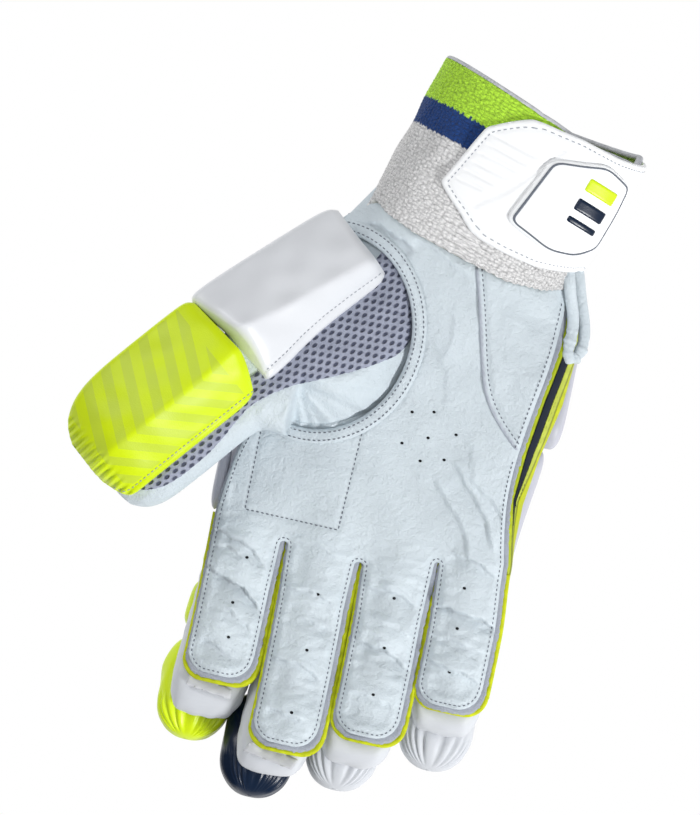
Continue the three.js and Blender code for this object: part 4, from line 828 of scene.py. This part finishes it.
def finger_pad(name, f, s0, s1, width, nose, pleats, seed):
    """A stuffed roll: superellipse rings whose size fades to the ends, pleated where the cover is gathered."""
    t = (1 - np.cos(np.linspace(0, math.pi, 90))[:, None]) / 2
    if nose:
        root, tip = (1 - np.abs(1 - 2 * np.minimum(t, 0.5)) ** 5) ** 0.45, (1 - np.clip(2 * t - 1, 0, 1) ** 2.6) ** 0.5
        size, gather = np.where(t < 0.5, root, tip), smooth((t - 0.6) / 0.2) * smooth((1 - t) / 0.06)
    else:
        size, gather = (1 - np.abs(2 * t - 1) ** 5) ** 0.42, smooth((0.12 - t) / 0.12) + smooth((t - 0.88) / 0.12)
    s, a = mix(s0, s1, t), circle(120)
    lean = f["drift"] * np.minimum(1, (np.maximum(0, s) / (0.72 * (f["length"] + f["cap"]))) ** 1.5)
    wave = np.abs(np.sin(pleats / 2 * a + 0.7 * np.sin(3 * a + seed))) ** 0.5 - 0.75
    wave = wave * PLEATS[seed % 9 % 4] * gather * (0.25 + 0.75 * smooth(2.2 * np.sin(a)))
    r = np.maximum(size, 0.05) * (1 + wave + 0.012 * ripples(xyz(s, 16 * a), 13, 8, seed))
    across, up, centre = power(np.cos(a), 0.68), power(np.sin(a), 0.68), PAD_TOP * 0.52
    x = (f["left"] + f["right"]) / 2 - lean + width / 2 * across * r
    z = centre + np.where(up > 0, (PAD_TOP - centre) * up, (centre + 1.2) * up) * r
    pts = curl(xyz(x, KNUCKLE_Y - s, np.maximum(z, 0.15)))
    pts[..., 2] = np.maximum(pts[..., 2], 0.15)
    loft(name, pts, f["pad"])


for i, f in enumerate(FINGERS):
    tip = f["length"] + f["cap"]
    joint = mix(5, tip - 38, 0.5)
    finger_pad(f"roll_base_{f['name']}", f, 5, joint - 0.8, 29, False, 20, i)
    finger_pad(f"roll_mid_{f['name']}", f, joint, tip - 38.8, 29, False, 20, i + 5)
    finger_pad(f"tip_cap_{f['name']}", f, tip - 38, tip, 30.4, True, [22, 40, 22, 22][i], i + 9)


def back_block(name, y0, y1, left, right, top):
    """A flat-bottomed pad of the back: superellipse rings between two side lines, under a height top(y)."""
    t = (1 - np.cos(np.linspace(0, math.pi, 60))[:, None]) / 2
    size, a, mid = np.maximum((1 - np.abs(2 * t - 1) ** 7) ** 0.4, 0.06), circle(72), 10.5
    y, up = mix(y0, y1, t), power(np.sin(a), 0.55)
    l, r = left(y), right(y)
    x = (l + r) / 2 + ((r - l) / 2 - 4 * (1 - size)) * power(np.cos(a), 0.5)
    z = mid + np.where(up > 0, (top(y) - mid) * up, (mid + 1.0) * up) * size
    pts = xyz(x, y, np.maximum(z, 0.12))
    pts[..., 2] += 0.25 * ripples(pts[..., :2], 14, 8, len(name)) * (pts[..., 2] > 12)
    # the back pads take the lavender-grey cover, painted shade
    loft(name, curl(pts), "guard_pu")


sink = lambda y: 9 * smooth(((y - KNUCKLE_Y) / PALM_L - 0.5) / 0.5)
little_side = lambda y: FINGERS[3]["right"] + (2.8 + 5.4 * smooth((y - KNUCKLE_Y) / 60))
index_side = lambda y: FINGERS[0]["left"] - 4 - 2 * np.cos((y + 10) / 40 * math.pi) + 2
between = [(f["right"] + g["left"]) / 2 for f, g in zip(FINGERS, FINGERS[1:])]
for i, f in enumerate(FINGERS):
    left = (lambda y: between[i - 1] + 0.4) if i else index_side
    right = (lambda y: between[i] - 0.4) if i < 3 else little_side
    back_block(f"knuckle_pad_{f['name']}", -26.2, 26, left, right, lambda y: 23.2)
guard_left = lambda y: little_side(y) - 8.5
guard_right = lambda y: little_side(y) + 3.8 - 4 * smooth((y - 76) / 16)
top = lambda y: 22.6 - sink(y)
across = lambda y, share: mix(FINGERS[0]["left"] + 8 + 18 * smooth((y - 20) / 75), guard_left(y) - 0.8, share)
for name, a, b in (("index", 0, 0.34), ("middle", 0.34, 0.66), ("ring", 0.66, 1)):
    back_block(f"back_pad_{name}", 26.8, 88, lambda y: across(y, a) + 0.4, lambda y: across(y, b) - 0.4, top)
back_block("side_guard", 26.8, 93, guard_left, guard_right, top)

# Guard beside the index finger: superellipse rings
t, a = np.linspace(0, 1, 40)[:, None], circle(40)
size = np.maximum((1 - np.abs(2 * t - 1) ** 4) ** 0.5, 0.1)
x, z = -58.9 + 2.4 * power(np.cos(a), 0.6) * size, 31 + 6.8 * power(np.sin(a), 0.6) * size
# the lavender-grey cover is painted shade here too
loft("index_guard", curl(xyz(x, mix(-24.5, 6, t), z)), "guard_pu")

# --- back lining: the floor of the hand's room and its index wall; rows are shares (length, left, right) ---
LINING = [
    (0, 0, 0.012), (0.2, -0.005, 0.005), (0.4, -0.09, 0.02),
    (0.62, -0.13, 0.05), (0.85, -0.17, 0.075), (1.02, -0.22, 0.04),
]  # fmt: skip
t = np.linspace(0, 1.02, 70)[:, None]
y = mix(KNUCKLE_Y - 2.6, KNUCKLE_Y + PALM_L * 1.06, t / 1.06)
at, l, r = np.array(LINING).T
left = FINGERS[0]["left"] - np.interp(t, at, l) * PALM_W + 1.4
right = FINGERS[3]["right"] + np.interp(t, at, r) * PALM_W
z0 = 24.6 - 9 * smooth((t - 0.5) / 0.5)
wall = xyz(left, y, mix(palm_z(left, y) - 3.6, z0, np.linspace(0, 0.94, 14)))
wall[..., 2] = np.minimum(wall[..., 2], mix(30, 60, 1 - smooth((y - 14) / 6) * smooth((96 - y) / 6)))
floor = xyz(mix(left, right, np.linspace(0, 1, 50)), y, z0)
cloth("back_lining", curl(np.concatenate([wall, floor], 1)), "lining_fabric")

# Light-grey tapes caught under two fingertips, lying on the collars along the curl
tape_z = lambda p, d: PALM_Z + CURL_R - np.sqrt((CURL_R + 6.2) ** 2 - (p[:, 1] - KNUCKLE_Y) ** 2) + 1.2
TAPES = dict(
    index=[
        (-54.1509150, -89.6169538), (-36.2210712, -93.1667001),
        (-36.4008379, -97.1306986), (-55.1933460, -94.9093386),
    ],
    middle=[
        (-24.6289156, -111.1495232), (-4.7427765, -114.2834462),
        (-6.6499430, -118.7781893), (-27.4017649, -115.4193367),
    ],
)
for name, corners in TAPES.items():
    panel(f"tip_tape_{name}", rounded(np.array(corners), 0.6), [], 0.8, tape_z, 0.5, "binding", roll=0.2)

# --- side strip: grey, lime, navy and ribbed lime bands down the little finger's side ---
STRIP_EDGE = [(-0.021, 0.022), (0.08, 0.014), (0.22, 0.014), (0.4, 0.036), (0.6, 0.076), (0.79, 0.09), (0.99, 0.087)]
t, u = np.linspace(-0.034, 0.985, 200)[:, None], np.linspace(0, 1, 72)
y = KNUCKLE_Y + t * PALM_L
near, far = (FINGERS[3]["right"] + np.interp(t, *np.array(table).T) * PALM_W for table in (LITTLE_SIDE, STRIP_EDGE))
near = near - 0.6
foot = 26.2 - sink(y)
wide = (far - near) * u**0.8
z = foot + (palm_z(near, y) - 3.3 - foot) * (1 - u**2.6) ** 0.6
navy_to = 3.9 + 3.1 * smooth((y + 13) / 45)
cord_at = navy_to + 0.3 + 2.1 * smooth((y + 20) / 60)
ribs = 0.22 * np.cos(2 * math.pi * y / 0.9) * (wide > navy_to)
groove = bell(wide - cord_at, 0.4) + bell(wide - navy_to, 0.25) * (navy_to > 4.1) + bell(wide - 3.9, 0.25)
puff = 0.7 * bell(wide - cord_at - 1.5, 0.9)
pts = curl(xyz(near + wide + 0.2 * groove, y, z + 0.3 * ribs + puff - 0.6 * groove))
colour = np.full((*wide.shape, 4), hexa("bccb1c"))
for band, code in (
    (wide > navy_to, "c6d24e"), (wide > cord_at, "cad30c"), ((wide > 3.9) & (wide < navy_to), "101c2e"),
):  # fmt: skip
    colour[band] = hexa(code)
# painted shade: the colour in every groove is halved
colour[groove > 0.5] *= [0.5, 0.5, 0.5, 1]
cloth("side_strip", pts[:, ::-1], "lime_fabric_tinted", tint=colour[:, ::-1])

# --- thumb ---
line = spline(THUMB, 200) + [HOLE["x"], HOLE["y"], 0, 0, 0]
way = unit(np.gradient(line[:, :2], axis=0))


def limit(x, y):
    """Height that the thumb keeps under: below the palm leather outside the hole, free where the thumb leaves."""
    e = np.sqrt(((x - HOLE["x"]) / HOLE["rx"]) ** 2 + ((y - HOLE["y"]) / HOLE["ry"]) ** 2) - 1
    return palm_z(x, y) - 3.3 + 44 * np.maximum(0, -e) + 80 * smooth((-35 - x) / 7)


def gathers(x, y):
    """Folds that fan out from the thumb's crook to the hole's edge."""
    turn, far = np.arctan2(y - 31, x + 37), np.hypot(x + 37, y - 31)
    fan = smooth((turn + 1.5) / 0.3) * smooth((0.35 - turn) / 0.3) * smooth(far / 12) * smooth((46 - far) / 14)
    return fan * (0.8 * np.sin(9 * turn + 0.5) + 0.5 * np.sin(21 * turn + far / 9) + 0.25 * np.sin(40 * turn))


a = circle(180)
mid_x, mid_y, mid_z, half, high = line.T[..., None]
across = power(np.cos(a), 0.8)
wide = half * across + 6 * smooth((mid_x + 62) / 12) * np.maximum(0, across)
x, y = mid_x - way[:, 1:] * wide, mid_y + way[:, :1] * wide
z = np.minimum(mid_z + high * power(np.sin(a), 0.8), limit(x, y))
z = z + ripples(xyz(x, y), 13, 12, 50) * 0.4 + ripples(xyz(x, y), 5, 12, 51) * 0.1 + gathers(x, y)
sleeve = xyz(x, y, z)
nodes = ["thumb_sleeve_front", "thumb_sleeve_back"]
obj = loft("thumb_sleeve", sleeve, "palm_leather", caps=False, nodes=nodes)
mod = obj.modifiers.new("wall", "SOLIDIFY")
mod.thickness, mod.offset = 1.3 * 0.001, -1
end = sleeve[-1]
fan = np.stack([mix(end, end.mean(0), w) for w in (0, 0.3, 0.6, 1)])
fan[..., :2] += way[-1] * np.array([0, 0.7, 1.1, 1.2])[:, None, None]
loft("thumb_sleeve_end", fan, "palm_leather", caps=False)
sleeve_top = drop(sleeve)

MESH_EDGE = np.array([
    (-60, -78), (-50, -76), (-41.8, -68.4), (-32.1, -56.2), (-26.4, -44.7), (-22.2, -35.6), (-11.7, -27.3), (-6.2, -24.1),
    (3.1, -20), (14.3, -14.8), (28.8, -6.4), (36.5, 1), (36.5, 25), (23, 40.5), (13.2, 33.8), (15.4, 19.6), (7, 9.7),
    (-9.5, -9), (-22.5, -23.4), (-25.9, -26), (-29.5, -33), (-38.2, -49), (-47.3, -63), (-52.3, -69), (-56, -73),
]) + [HOLE["x"], HOLE["y"]]  # fmt: skip
mesh_loop = inset(spline(MESH_EDGE, 300, closed=True), 0, 0.8, frayed=0.12)


def mesh_z(p, d):
    """On the thumb's sleeve, a little higher away from its edge."""
    z = sleeve_top(p)
    return np.where(np.isnan(z), np.nanmin(z), z) + 0.9 + 0.4 * smooth(d / 3)


def mesh_mm(p, d):
    """Distances in mm along and across the thumb's straight part."""
    c, s = math.cos(math.radians(229)), math.sin(math.radians(229))
    return xyz(p[:, 0] * c + p[:, 1] * s, p[:, 1] * c - p[:, 0] * s)


panel("thumb_mesh", mesh_loop, [], 0.7, mesh_z, 1.1, "grey_mesh", roll=0.4, mm=mesh_mm)


def thumb_pad(name, turn, rows, mat, inset_by, fold, skew):
    """Foam pad: B-spline skin over rows of (along, left, ridge, right, base, deep, full), ridge side up.
    skew(along, across, rise) moves points along the thumb, so that an end slopes or bends."""
    d = np.array([math.cos(math.radians(turn)), math.sin(math.radians(turn))])
    nrm = np.array([-d[1], d[0]])
    rings = []
    for at, left, ridge, right, base, deep, full in rows:
        t = 17.0 * full
        sec = [
            (right, base - 3), (right, base + 1.5 * full), (right - 0.4, base + 4.6 * full),
            (right - 2, base + 5.4 * full),
            (mix(right, ridge, 0.5), base + mix(5.4 * full, t, 0.55)), (ridge + 2.2, base + t - 0.9),
            (ridge, base + t + 0.1),
            (ridge - 2.4, base + t - 0.9), (mix(ridge, left, 0.5), base + t * 0.72),
            (left + 2.4, base + t * 0.38), (left + 0.3, base + t * 0.3),
            (left, base + t * 0.12), (left, base - deep * 0.4), (left + 0.4, base - deep * 0.85), (left + 3, base - deep),
            (left + 14, base - deep), (ridge + 2, base - 5), (ridge + 8, base - 2),
        ]  # fmt: skip
        rings.append([(at + skew(at, n, max(0, z - base) / 17), n, z) for n, z in sec])
    at, n, z = np.moveaxis(spline(spline(np.array(rings), 130), 200, closed=True, axis=1), -1, 0)
    z = z + 0.25 * ripples(xyz(at, n), 16, 8, 70) + fold(at, n)
    rings = np.concatenate([at[..., None] * d + n[..., None] * nrm + [HOLE["x"], HOLE["y"]], z[..., None]], -1)
    loft(name, rings, mat, mm=xyz(at, n))
    along, edge = np.array(rows)[1:-1, [0, 3]].T
    at = np.linspace(along[0] + 2, along[-1], 120)
    n = np.interp(at, along, edge) - inset_by
    top = drop(rings)
    path = at[:, None] * d + n[:, None] * nrm + [HOLE["x"], HOLE["y"]]
    stitch(path, lambda p: over(p, np.nan_to_num(top(p), nan=45.0) + 0.05), to=PALE)
BASE_ROWS = [
    (-36, -36.5, -13.2, -5.2, 45, 1, 0.6), (-34, -38.6, -13.2, -3.2, 45.5, 1.5, 0.9),
    (-30, -39.7, -13.2, -2.2, 46.5, 2, 1), (-16, -39.9, -13.8, -1.4, 52.5, 6, 1), (-3, -39.9, -14.5, -0.2, 59, 9, 1),
    (8, -39.9, -15, 1.6, 63, 12, 1), (17, -39.9, -15.8, 3.8, 67, 15, 1), (25, -39.6, -17, 5.2, 70.5, 15, 1),
    (29, -38.8, -18, 5.6, 71.3, 14.5, 0.97), (30.2, -36, -18.4, 4.6, 71.5, 14, 0.85),
]  # fmt: skip
TIP_ROWS = [
    (30.4, -39, -14.6, 2.6, 74.4, 15, 0.86), (32, -41.3, -14.4, 4, 74.5, 15.5, 0.96),
    (35.5, -42.1, -14.1, 4.9, 75, 16, 1), (55, -42.1, -14.1, 4.9, 75.6, 16, 1), (70, -42.1, -14.1, 4.9, 76.2, 16, 1),
    (84, -41.6, -14.1, 4.9, 76, 16, 0.98), (93, -39.4, -14, 5, 75.2, 15, 0.9), (98, -36.6, -13.6, 5, 74.2, 13, 0.8),
    (101.4, -34, -13, 4, 73, 11, 0.68), (104, -30, -12.4, -1.5, 71.8, 9, 0.54), (105.6, -26, -13, -8, 70.6, 7, 0.42),
]  # fmt: skip
base_at, base_right = np.array(BASE_ROWS)[:, [0, 3]].T
base_fold = lambda at, n: -0.5 * bell(n - (np.interp(at, base_at, base_right) - 3.6), 0.7) * (n > -12)
tip_fold = lambda at, n: (
    -0.9 * smooth((at - 96) / 6) * np.cos(n * 2.1) * smooth((n + 38) / 4) - 0.4 * bell(n - 2.4, 0.7)
)
base_skew = lambda at, n, rise: (
    smooth((at - 12) / 16) * (0.27 * max(0, -n - 8) - 5 * rise)
    + smooth((-16 - at) / 16) * (3 + 2 * smooth((-n - 8) / 25))
)
tip_skew = lambda at, n, rise: smooth((50 - at) / 14) * (0.1 * max(0, -n - 12) + 0.5 * max(0, n + 10))
thumb_pad("thumb_base_pad", 225, BASE_ROWS, "white_pu", 3.6, base_fold, base_skew)
thumb_pad("thumb_tip_pad", 230.6, TIP_ROWS, "lime_striped", 2.5, tip_fold, tip_skew)


# --- cuff ---
def cuff_point(theta, along, out):
    """Point at an angle round the cuff, mm along it, out from its knitted face, a superellipse of power 0.78."""
    t = np.clip(along / CUFF["length"], 0, 1)
    high = mix(CUFF["base"], CUFF["rim"], t) + out
    xy = on_cuff((CUFF["half"] + CUFF["flare"] * t + out) * power(np.cos(theta), 0.78), along)
    return np.concatenate([xy, (CUFF["z"] + high * power(np.sin(theta), 0.78))[..., None]], -1)


def cuff_range(theta):
    """Where the knit begins and ends along the cuff at each angle: seam or back edge, and rim with its lip."""
    c, s = power(np.cos(theta), 0.78), power(np.sin(theta), 0.78)
    back = (WRIST_Y + 0.4 - CUFF["y"] + c * CUFF["half"] * math.sin(LEAN)) / math.cos(LEAN)
    lip = 5.2 * smooth((c + 0.1) / 0.7) * smooth(0.5 + 2 * s)
    return mix(back, seam_at(c), smooth(0.5 + s)), np.interp(c, *np.array(RIM).T) * CUFF["length"] - lip


theta, t = circle(440), np.linspace(0, 1, 150)[:, None]
first, last = cuff_range(theta)
along, q = mix(first, last, t), theta * WRAP
frayed = 0.3 * np.sin(q * 1.9) * bell(t, 0.03)
soft = 0.5 * ripples(xyz(q, along), 21, 8, 80) * bell(t - 0.5, 0.4)
grain = 0.16 * np.cos(2 * math.pi * along / 2.7) * np.cos(2 * math.pi * q / 3.8)
inner = along[::10][::-1]
rings = np.concatenate([cuff_point(theta, along + frayed, soft + grain), cuff_point(theta, inner, -3.3)])
edge = along + 0.25 * np.sin(q * 3.3) + 0.3 * ripples(xyz(q, along), 3, 12, 81)
tint = np.full((*rings.shape[:2], 4), hexa("fbfafa"))
tint[:150][edge > 33.8] = hexa("083f85")
tint[:150][edge > 45.4] = hexa("c8ff42")
# painted shade: the knit's inside, seen past the rim, is coloured olive-grey
tint[150:] = hexa("9aa083")
quads = [grid_faces(len(rings), 440, close_m=True, close_n=True)]
mm = xyz(q, np.concatenate([along, inner])).reshape(-1, 2)
build("cuff", rings.reshape(-1, 3), quads, "grey_knit", tint=tint, mm=mm)

# Ribbed binding round the rim
BINDING = [(-0.6, -3.0), (0.8, -3.1), (1.6, -2.4), (1.6, -0.9), (0.8, -0.2), (-0.6, -0.1)]
over_rim, out = spline(BINDING, 14, closed=True).T[..., None]
pts = cuff_point(theta, last + over_rim, out + 0.18 * np.cos(q * 2 * math.pi / 1.5))
build("cuff_binding", pts.reshape(-1, 3), [grid_faces(14, 440, close_m=True, close_n=True)], "binding")


# --- strap: cut in the plane of (angle x WRAP, mm along), then laid round the cuff ---
def flat(rows):
    """Rows of (share of the cuff's half width, share of its length) on its front, as places in that plane."""
    share, along = np.array(rows).T
    return xyz(np.arccos(power(np.clip(share, -1, 1), 1 / 0.78)) * WRAP, along * CUFF["length"])


FRONT = [(-0.48, 0.284), (-0.36, 0.743), (0, 0.949), (0.41, 0.985), (0.757, 1.0), (0.97, 1.045)]
LOWER = [(0.985, 0.25), (0.86, 0.184), (0.6, 0.112), (0.3, 0.088), (0.03, 0.086), (-0.19, 0.169)]
END = -math.pi / 2 - 0.45
BEHIND = np.array([(-0.25, 1.1), (-0.9, 0.98), (END, 0.9), (END, 0.27), (-0.9, 0.25), (-0.25, 0.24)])
strap_loop = rounded(np.concatenate([flat(FRONT), BEHIND * [WRAP, CUFF["length"]], flat(LOWER)]), 1.6)
RIBS = [
    flat([(mix(-0.36, -0.26, k / 5), mix(0.36, 0.72, k / 5)), (mix(-0.14, 0.12, k / 5), mix(0.36, 0.72, k / 5) + 0.01)])
    for k in range(6)
] + [flat([(-0.12, 0.26), (0.31, 0.87)])]


def strap_out(p, d):
    """Height over the knit: soft waves, a groove along the stitches and one for each rib."""
    z = 2.5 + 0.15 * ripples(p, 18, 8, 90) - 0.35 * bell(d - 2.2, 0.5) + 0.1 * smooth(d / 5)
    return z - sum(0.8 * bell(line_distance(p, resample(rib, n=6)), 0.45) for rib in RIBS)


def round_cuff(p, out):
    """Places in the strap's plane, laid round the cuff."""
    return cuff_point(p[:, 0] / WRAP, p[:, 1], out)


# strap and badge take the brighter cover, painted light
panel("strap", strap_loop, [], 0.8, strap_out, 2.0, "strap_pu", mapping=round_cuff)
stitch(inset(strap_loop, 2.2), lambda p: round_cuff(p, strap_out(p, 2.2) + 0.05), to=PALE)
BADGE = [
    (0.248, 0.78), (0.68, 0.926), (0.93, 0.887), (0.955, 0.687),
    (0.96, 0.42), (0.83, 0.289), (0.609, 0.23), (0.164, 0.275),
]  # fmt: skip
badge_loop = rounded(flat(BADGE), 4)
panel("strap_badge", badge_loop, [], 0.7, lambda p, d: 3.9 + 0.1 * smooth(d / 3), 1.1, "strap_pu", mapping=round_cuff)
raised = lambda p, d: 4.3 + 0 * d
outline, hole = inset(badge_loop, 1.1), inset(badge_loop, 1.75)
panel("badge_line", outline, [hole], 0.6, raised, 0.5, "thread", roll=0.15, mapping=round_cuff, slot="white_pu")
for name, mat, y0, y1 in (
    ("badge_bar_lime", "lime_pu", 43, 48.5), ("badge_bar_navy", "navy_pu", 34.5, 39.5),
    ("badge_bar_navy_2", "navy_pu", 29, 31.5),
):  # fmt: skip
    bar = rounded(np.array([(21.0, y0), (36.5, y0), (36.5, y1), (21.0, y1)]), 0.8)
    panel(name, bar, [], 0.7, raised, 0.6, mat, roll=0.2, mapping=round_cuff)

# --- pull loop: gathered leather tube ---
LOOP = np.array([
    (-2.0, 12.5, 37.5), (0.4, 6, 41), (2.4, -1.5, 37), (6, -9.5, 33.6), (6.4, -18, 35.3), (5.6, -24, 37.6),
    (8, -26.6, 36.6), (11.2, -23.5, 34.4), (11.9, -16, 31.5), (9.9, -8.5, 30.5), (6.8, -1, 31.6), (4.6, 7, 33),
    (2, 13, 31),
]) + [FINGERS[3]["right"], WRIST_Y, 0]  # fmt: skip
path = through(LOOP, 260, 600)
way = unit(np.gradient(path, axis=0))
side = unit(xyz(way[:, 1], -way[:, 0], 0))
up = np.cross(side, way)
a, run = circle(28), np.arange(260)[:, None] * np.linalg.norm(path[1] - path[0])
scrunch = 0.2 * (np.sin(run * 1.3 + 1.6 * np.sin(run * 0.43)) + 0.4 * np.sin(run * 2.6)) * (0.6 + 0.4 * np.cos(a - 1))
r = 1 + scrunch * smooth((run - 28) / 6) * smooth((56 - run) / 8)
pts = path[:, None] + side[:, None] * (2.4 * np.cos(a) * r)[..., None] + up[:, None] * (1.6 * np.sin(a) * r)[..., None]
loft("pull_loop", pts, "palm_leather")

# --- every dash of thread as one piece for each colour ---
for name, dashes, mat in (("stitching", STITCHES, "thread"), ("stitching_pale", PALE, "thread_pale")):
    rings = np.concatenate(dashes)
    quads = (np.arange(len(rings))[:, None, None] * 20 + grid_faces(4, 5, close_n=True)).reshape(-1, 4)
    build(name, rings.reshape(-1, 3), [quads], mat)

# --- floor, light and camera ---
bpy.ops.mesh.primitive_plane_add(size=6, location=(0, 0, -0.0005))
floor = bpy.context.object
floor.name = "floor"
# a white sweep lit until no shadow shows
white = (1, 1, 1, 1)
floor.data.materials.append(surface(
    empty("floor_white"), [], Base_Color=(0, 0, 0, 1), Roughness=1.0, Specular_IOR_Level=0.0,
    Emission_Color=white, Emission_Strength=1.0,
))  # fmt: skip

scene = bpy.context.scene
world = bpy.data.worlds.new("studio")
scene.world = world
world.use_nodes = True
world.node_tree.nodes["Background"].inputs[0].default_value = (0.95, 0.97, 1.0, 1)
world.node_tree.nodes["Background"].inputs[1].default_value = 0.27


def softbox(name, at, size, watts, target=(0, 0, 0.04)):
    """A square lamp that faces the target."""
    lamp = bpy.data.lights.new(name, "AREA")
    lamp.shape, lamp.size, lamp.energy = "SQUARE", size, watts
    obj = bpy.data.objects.new(name, lamp)
    obj.location = at
    obj.rotation_mode = "QUATERNION"
    obj.rotation_quaternion = (Vector(target) - Vector(at)).to_track_quat("-Z", "Y")
    scene.collection.objects.link(obj)


softbox("key", (1.1, -0.7, 0.95), 0.35, 21)
softbox("fill", (-1.1, 0.8, 1.1), 0.8, 10.5)
softbox("top", (0.1, 0.1, 1.7), 0.8, 4)

cam = bpy.data.cameras.new("camera")
cam.lens, cam.sensor_width = 200, 36
camera = bpy.data.objects.new("camera", cam)
scene.collection.objects.link(camera)
scene.camera = camera
target = Vector(place([-13.9, 26.7, 45.0]))
turn = math.radians(12)
back, up_v = Vector((0, 0, 1)), Vector((-math.sin(turn), math.cos(turn), 0))
basis = Matrix((up_v.cross(back), up_v, back)).transposed()
camera.matrix_world = Matrix.Translation(target + back * 1.811) @ basis.to_4x4()
cam.clip_start, cam.clip_end = 0.05, 20

scene.render.resolution_x, scene.render.resolution_y = 700, 815
scene.view_settings.view_transform = "Standard"
scene.view_settings.look = "None"
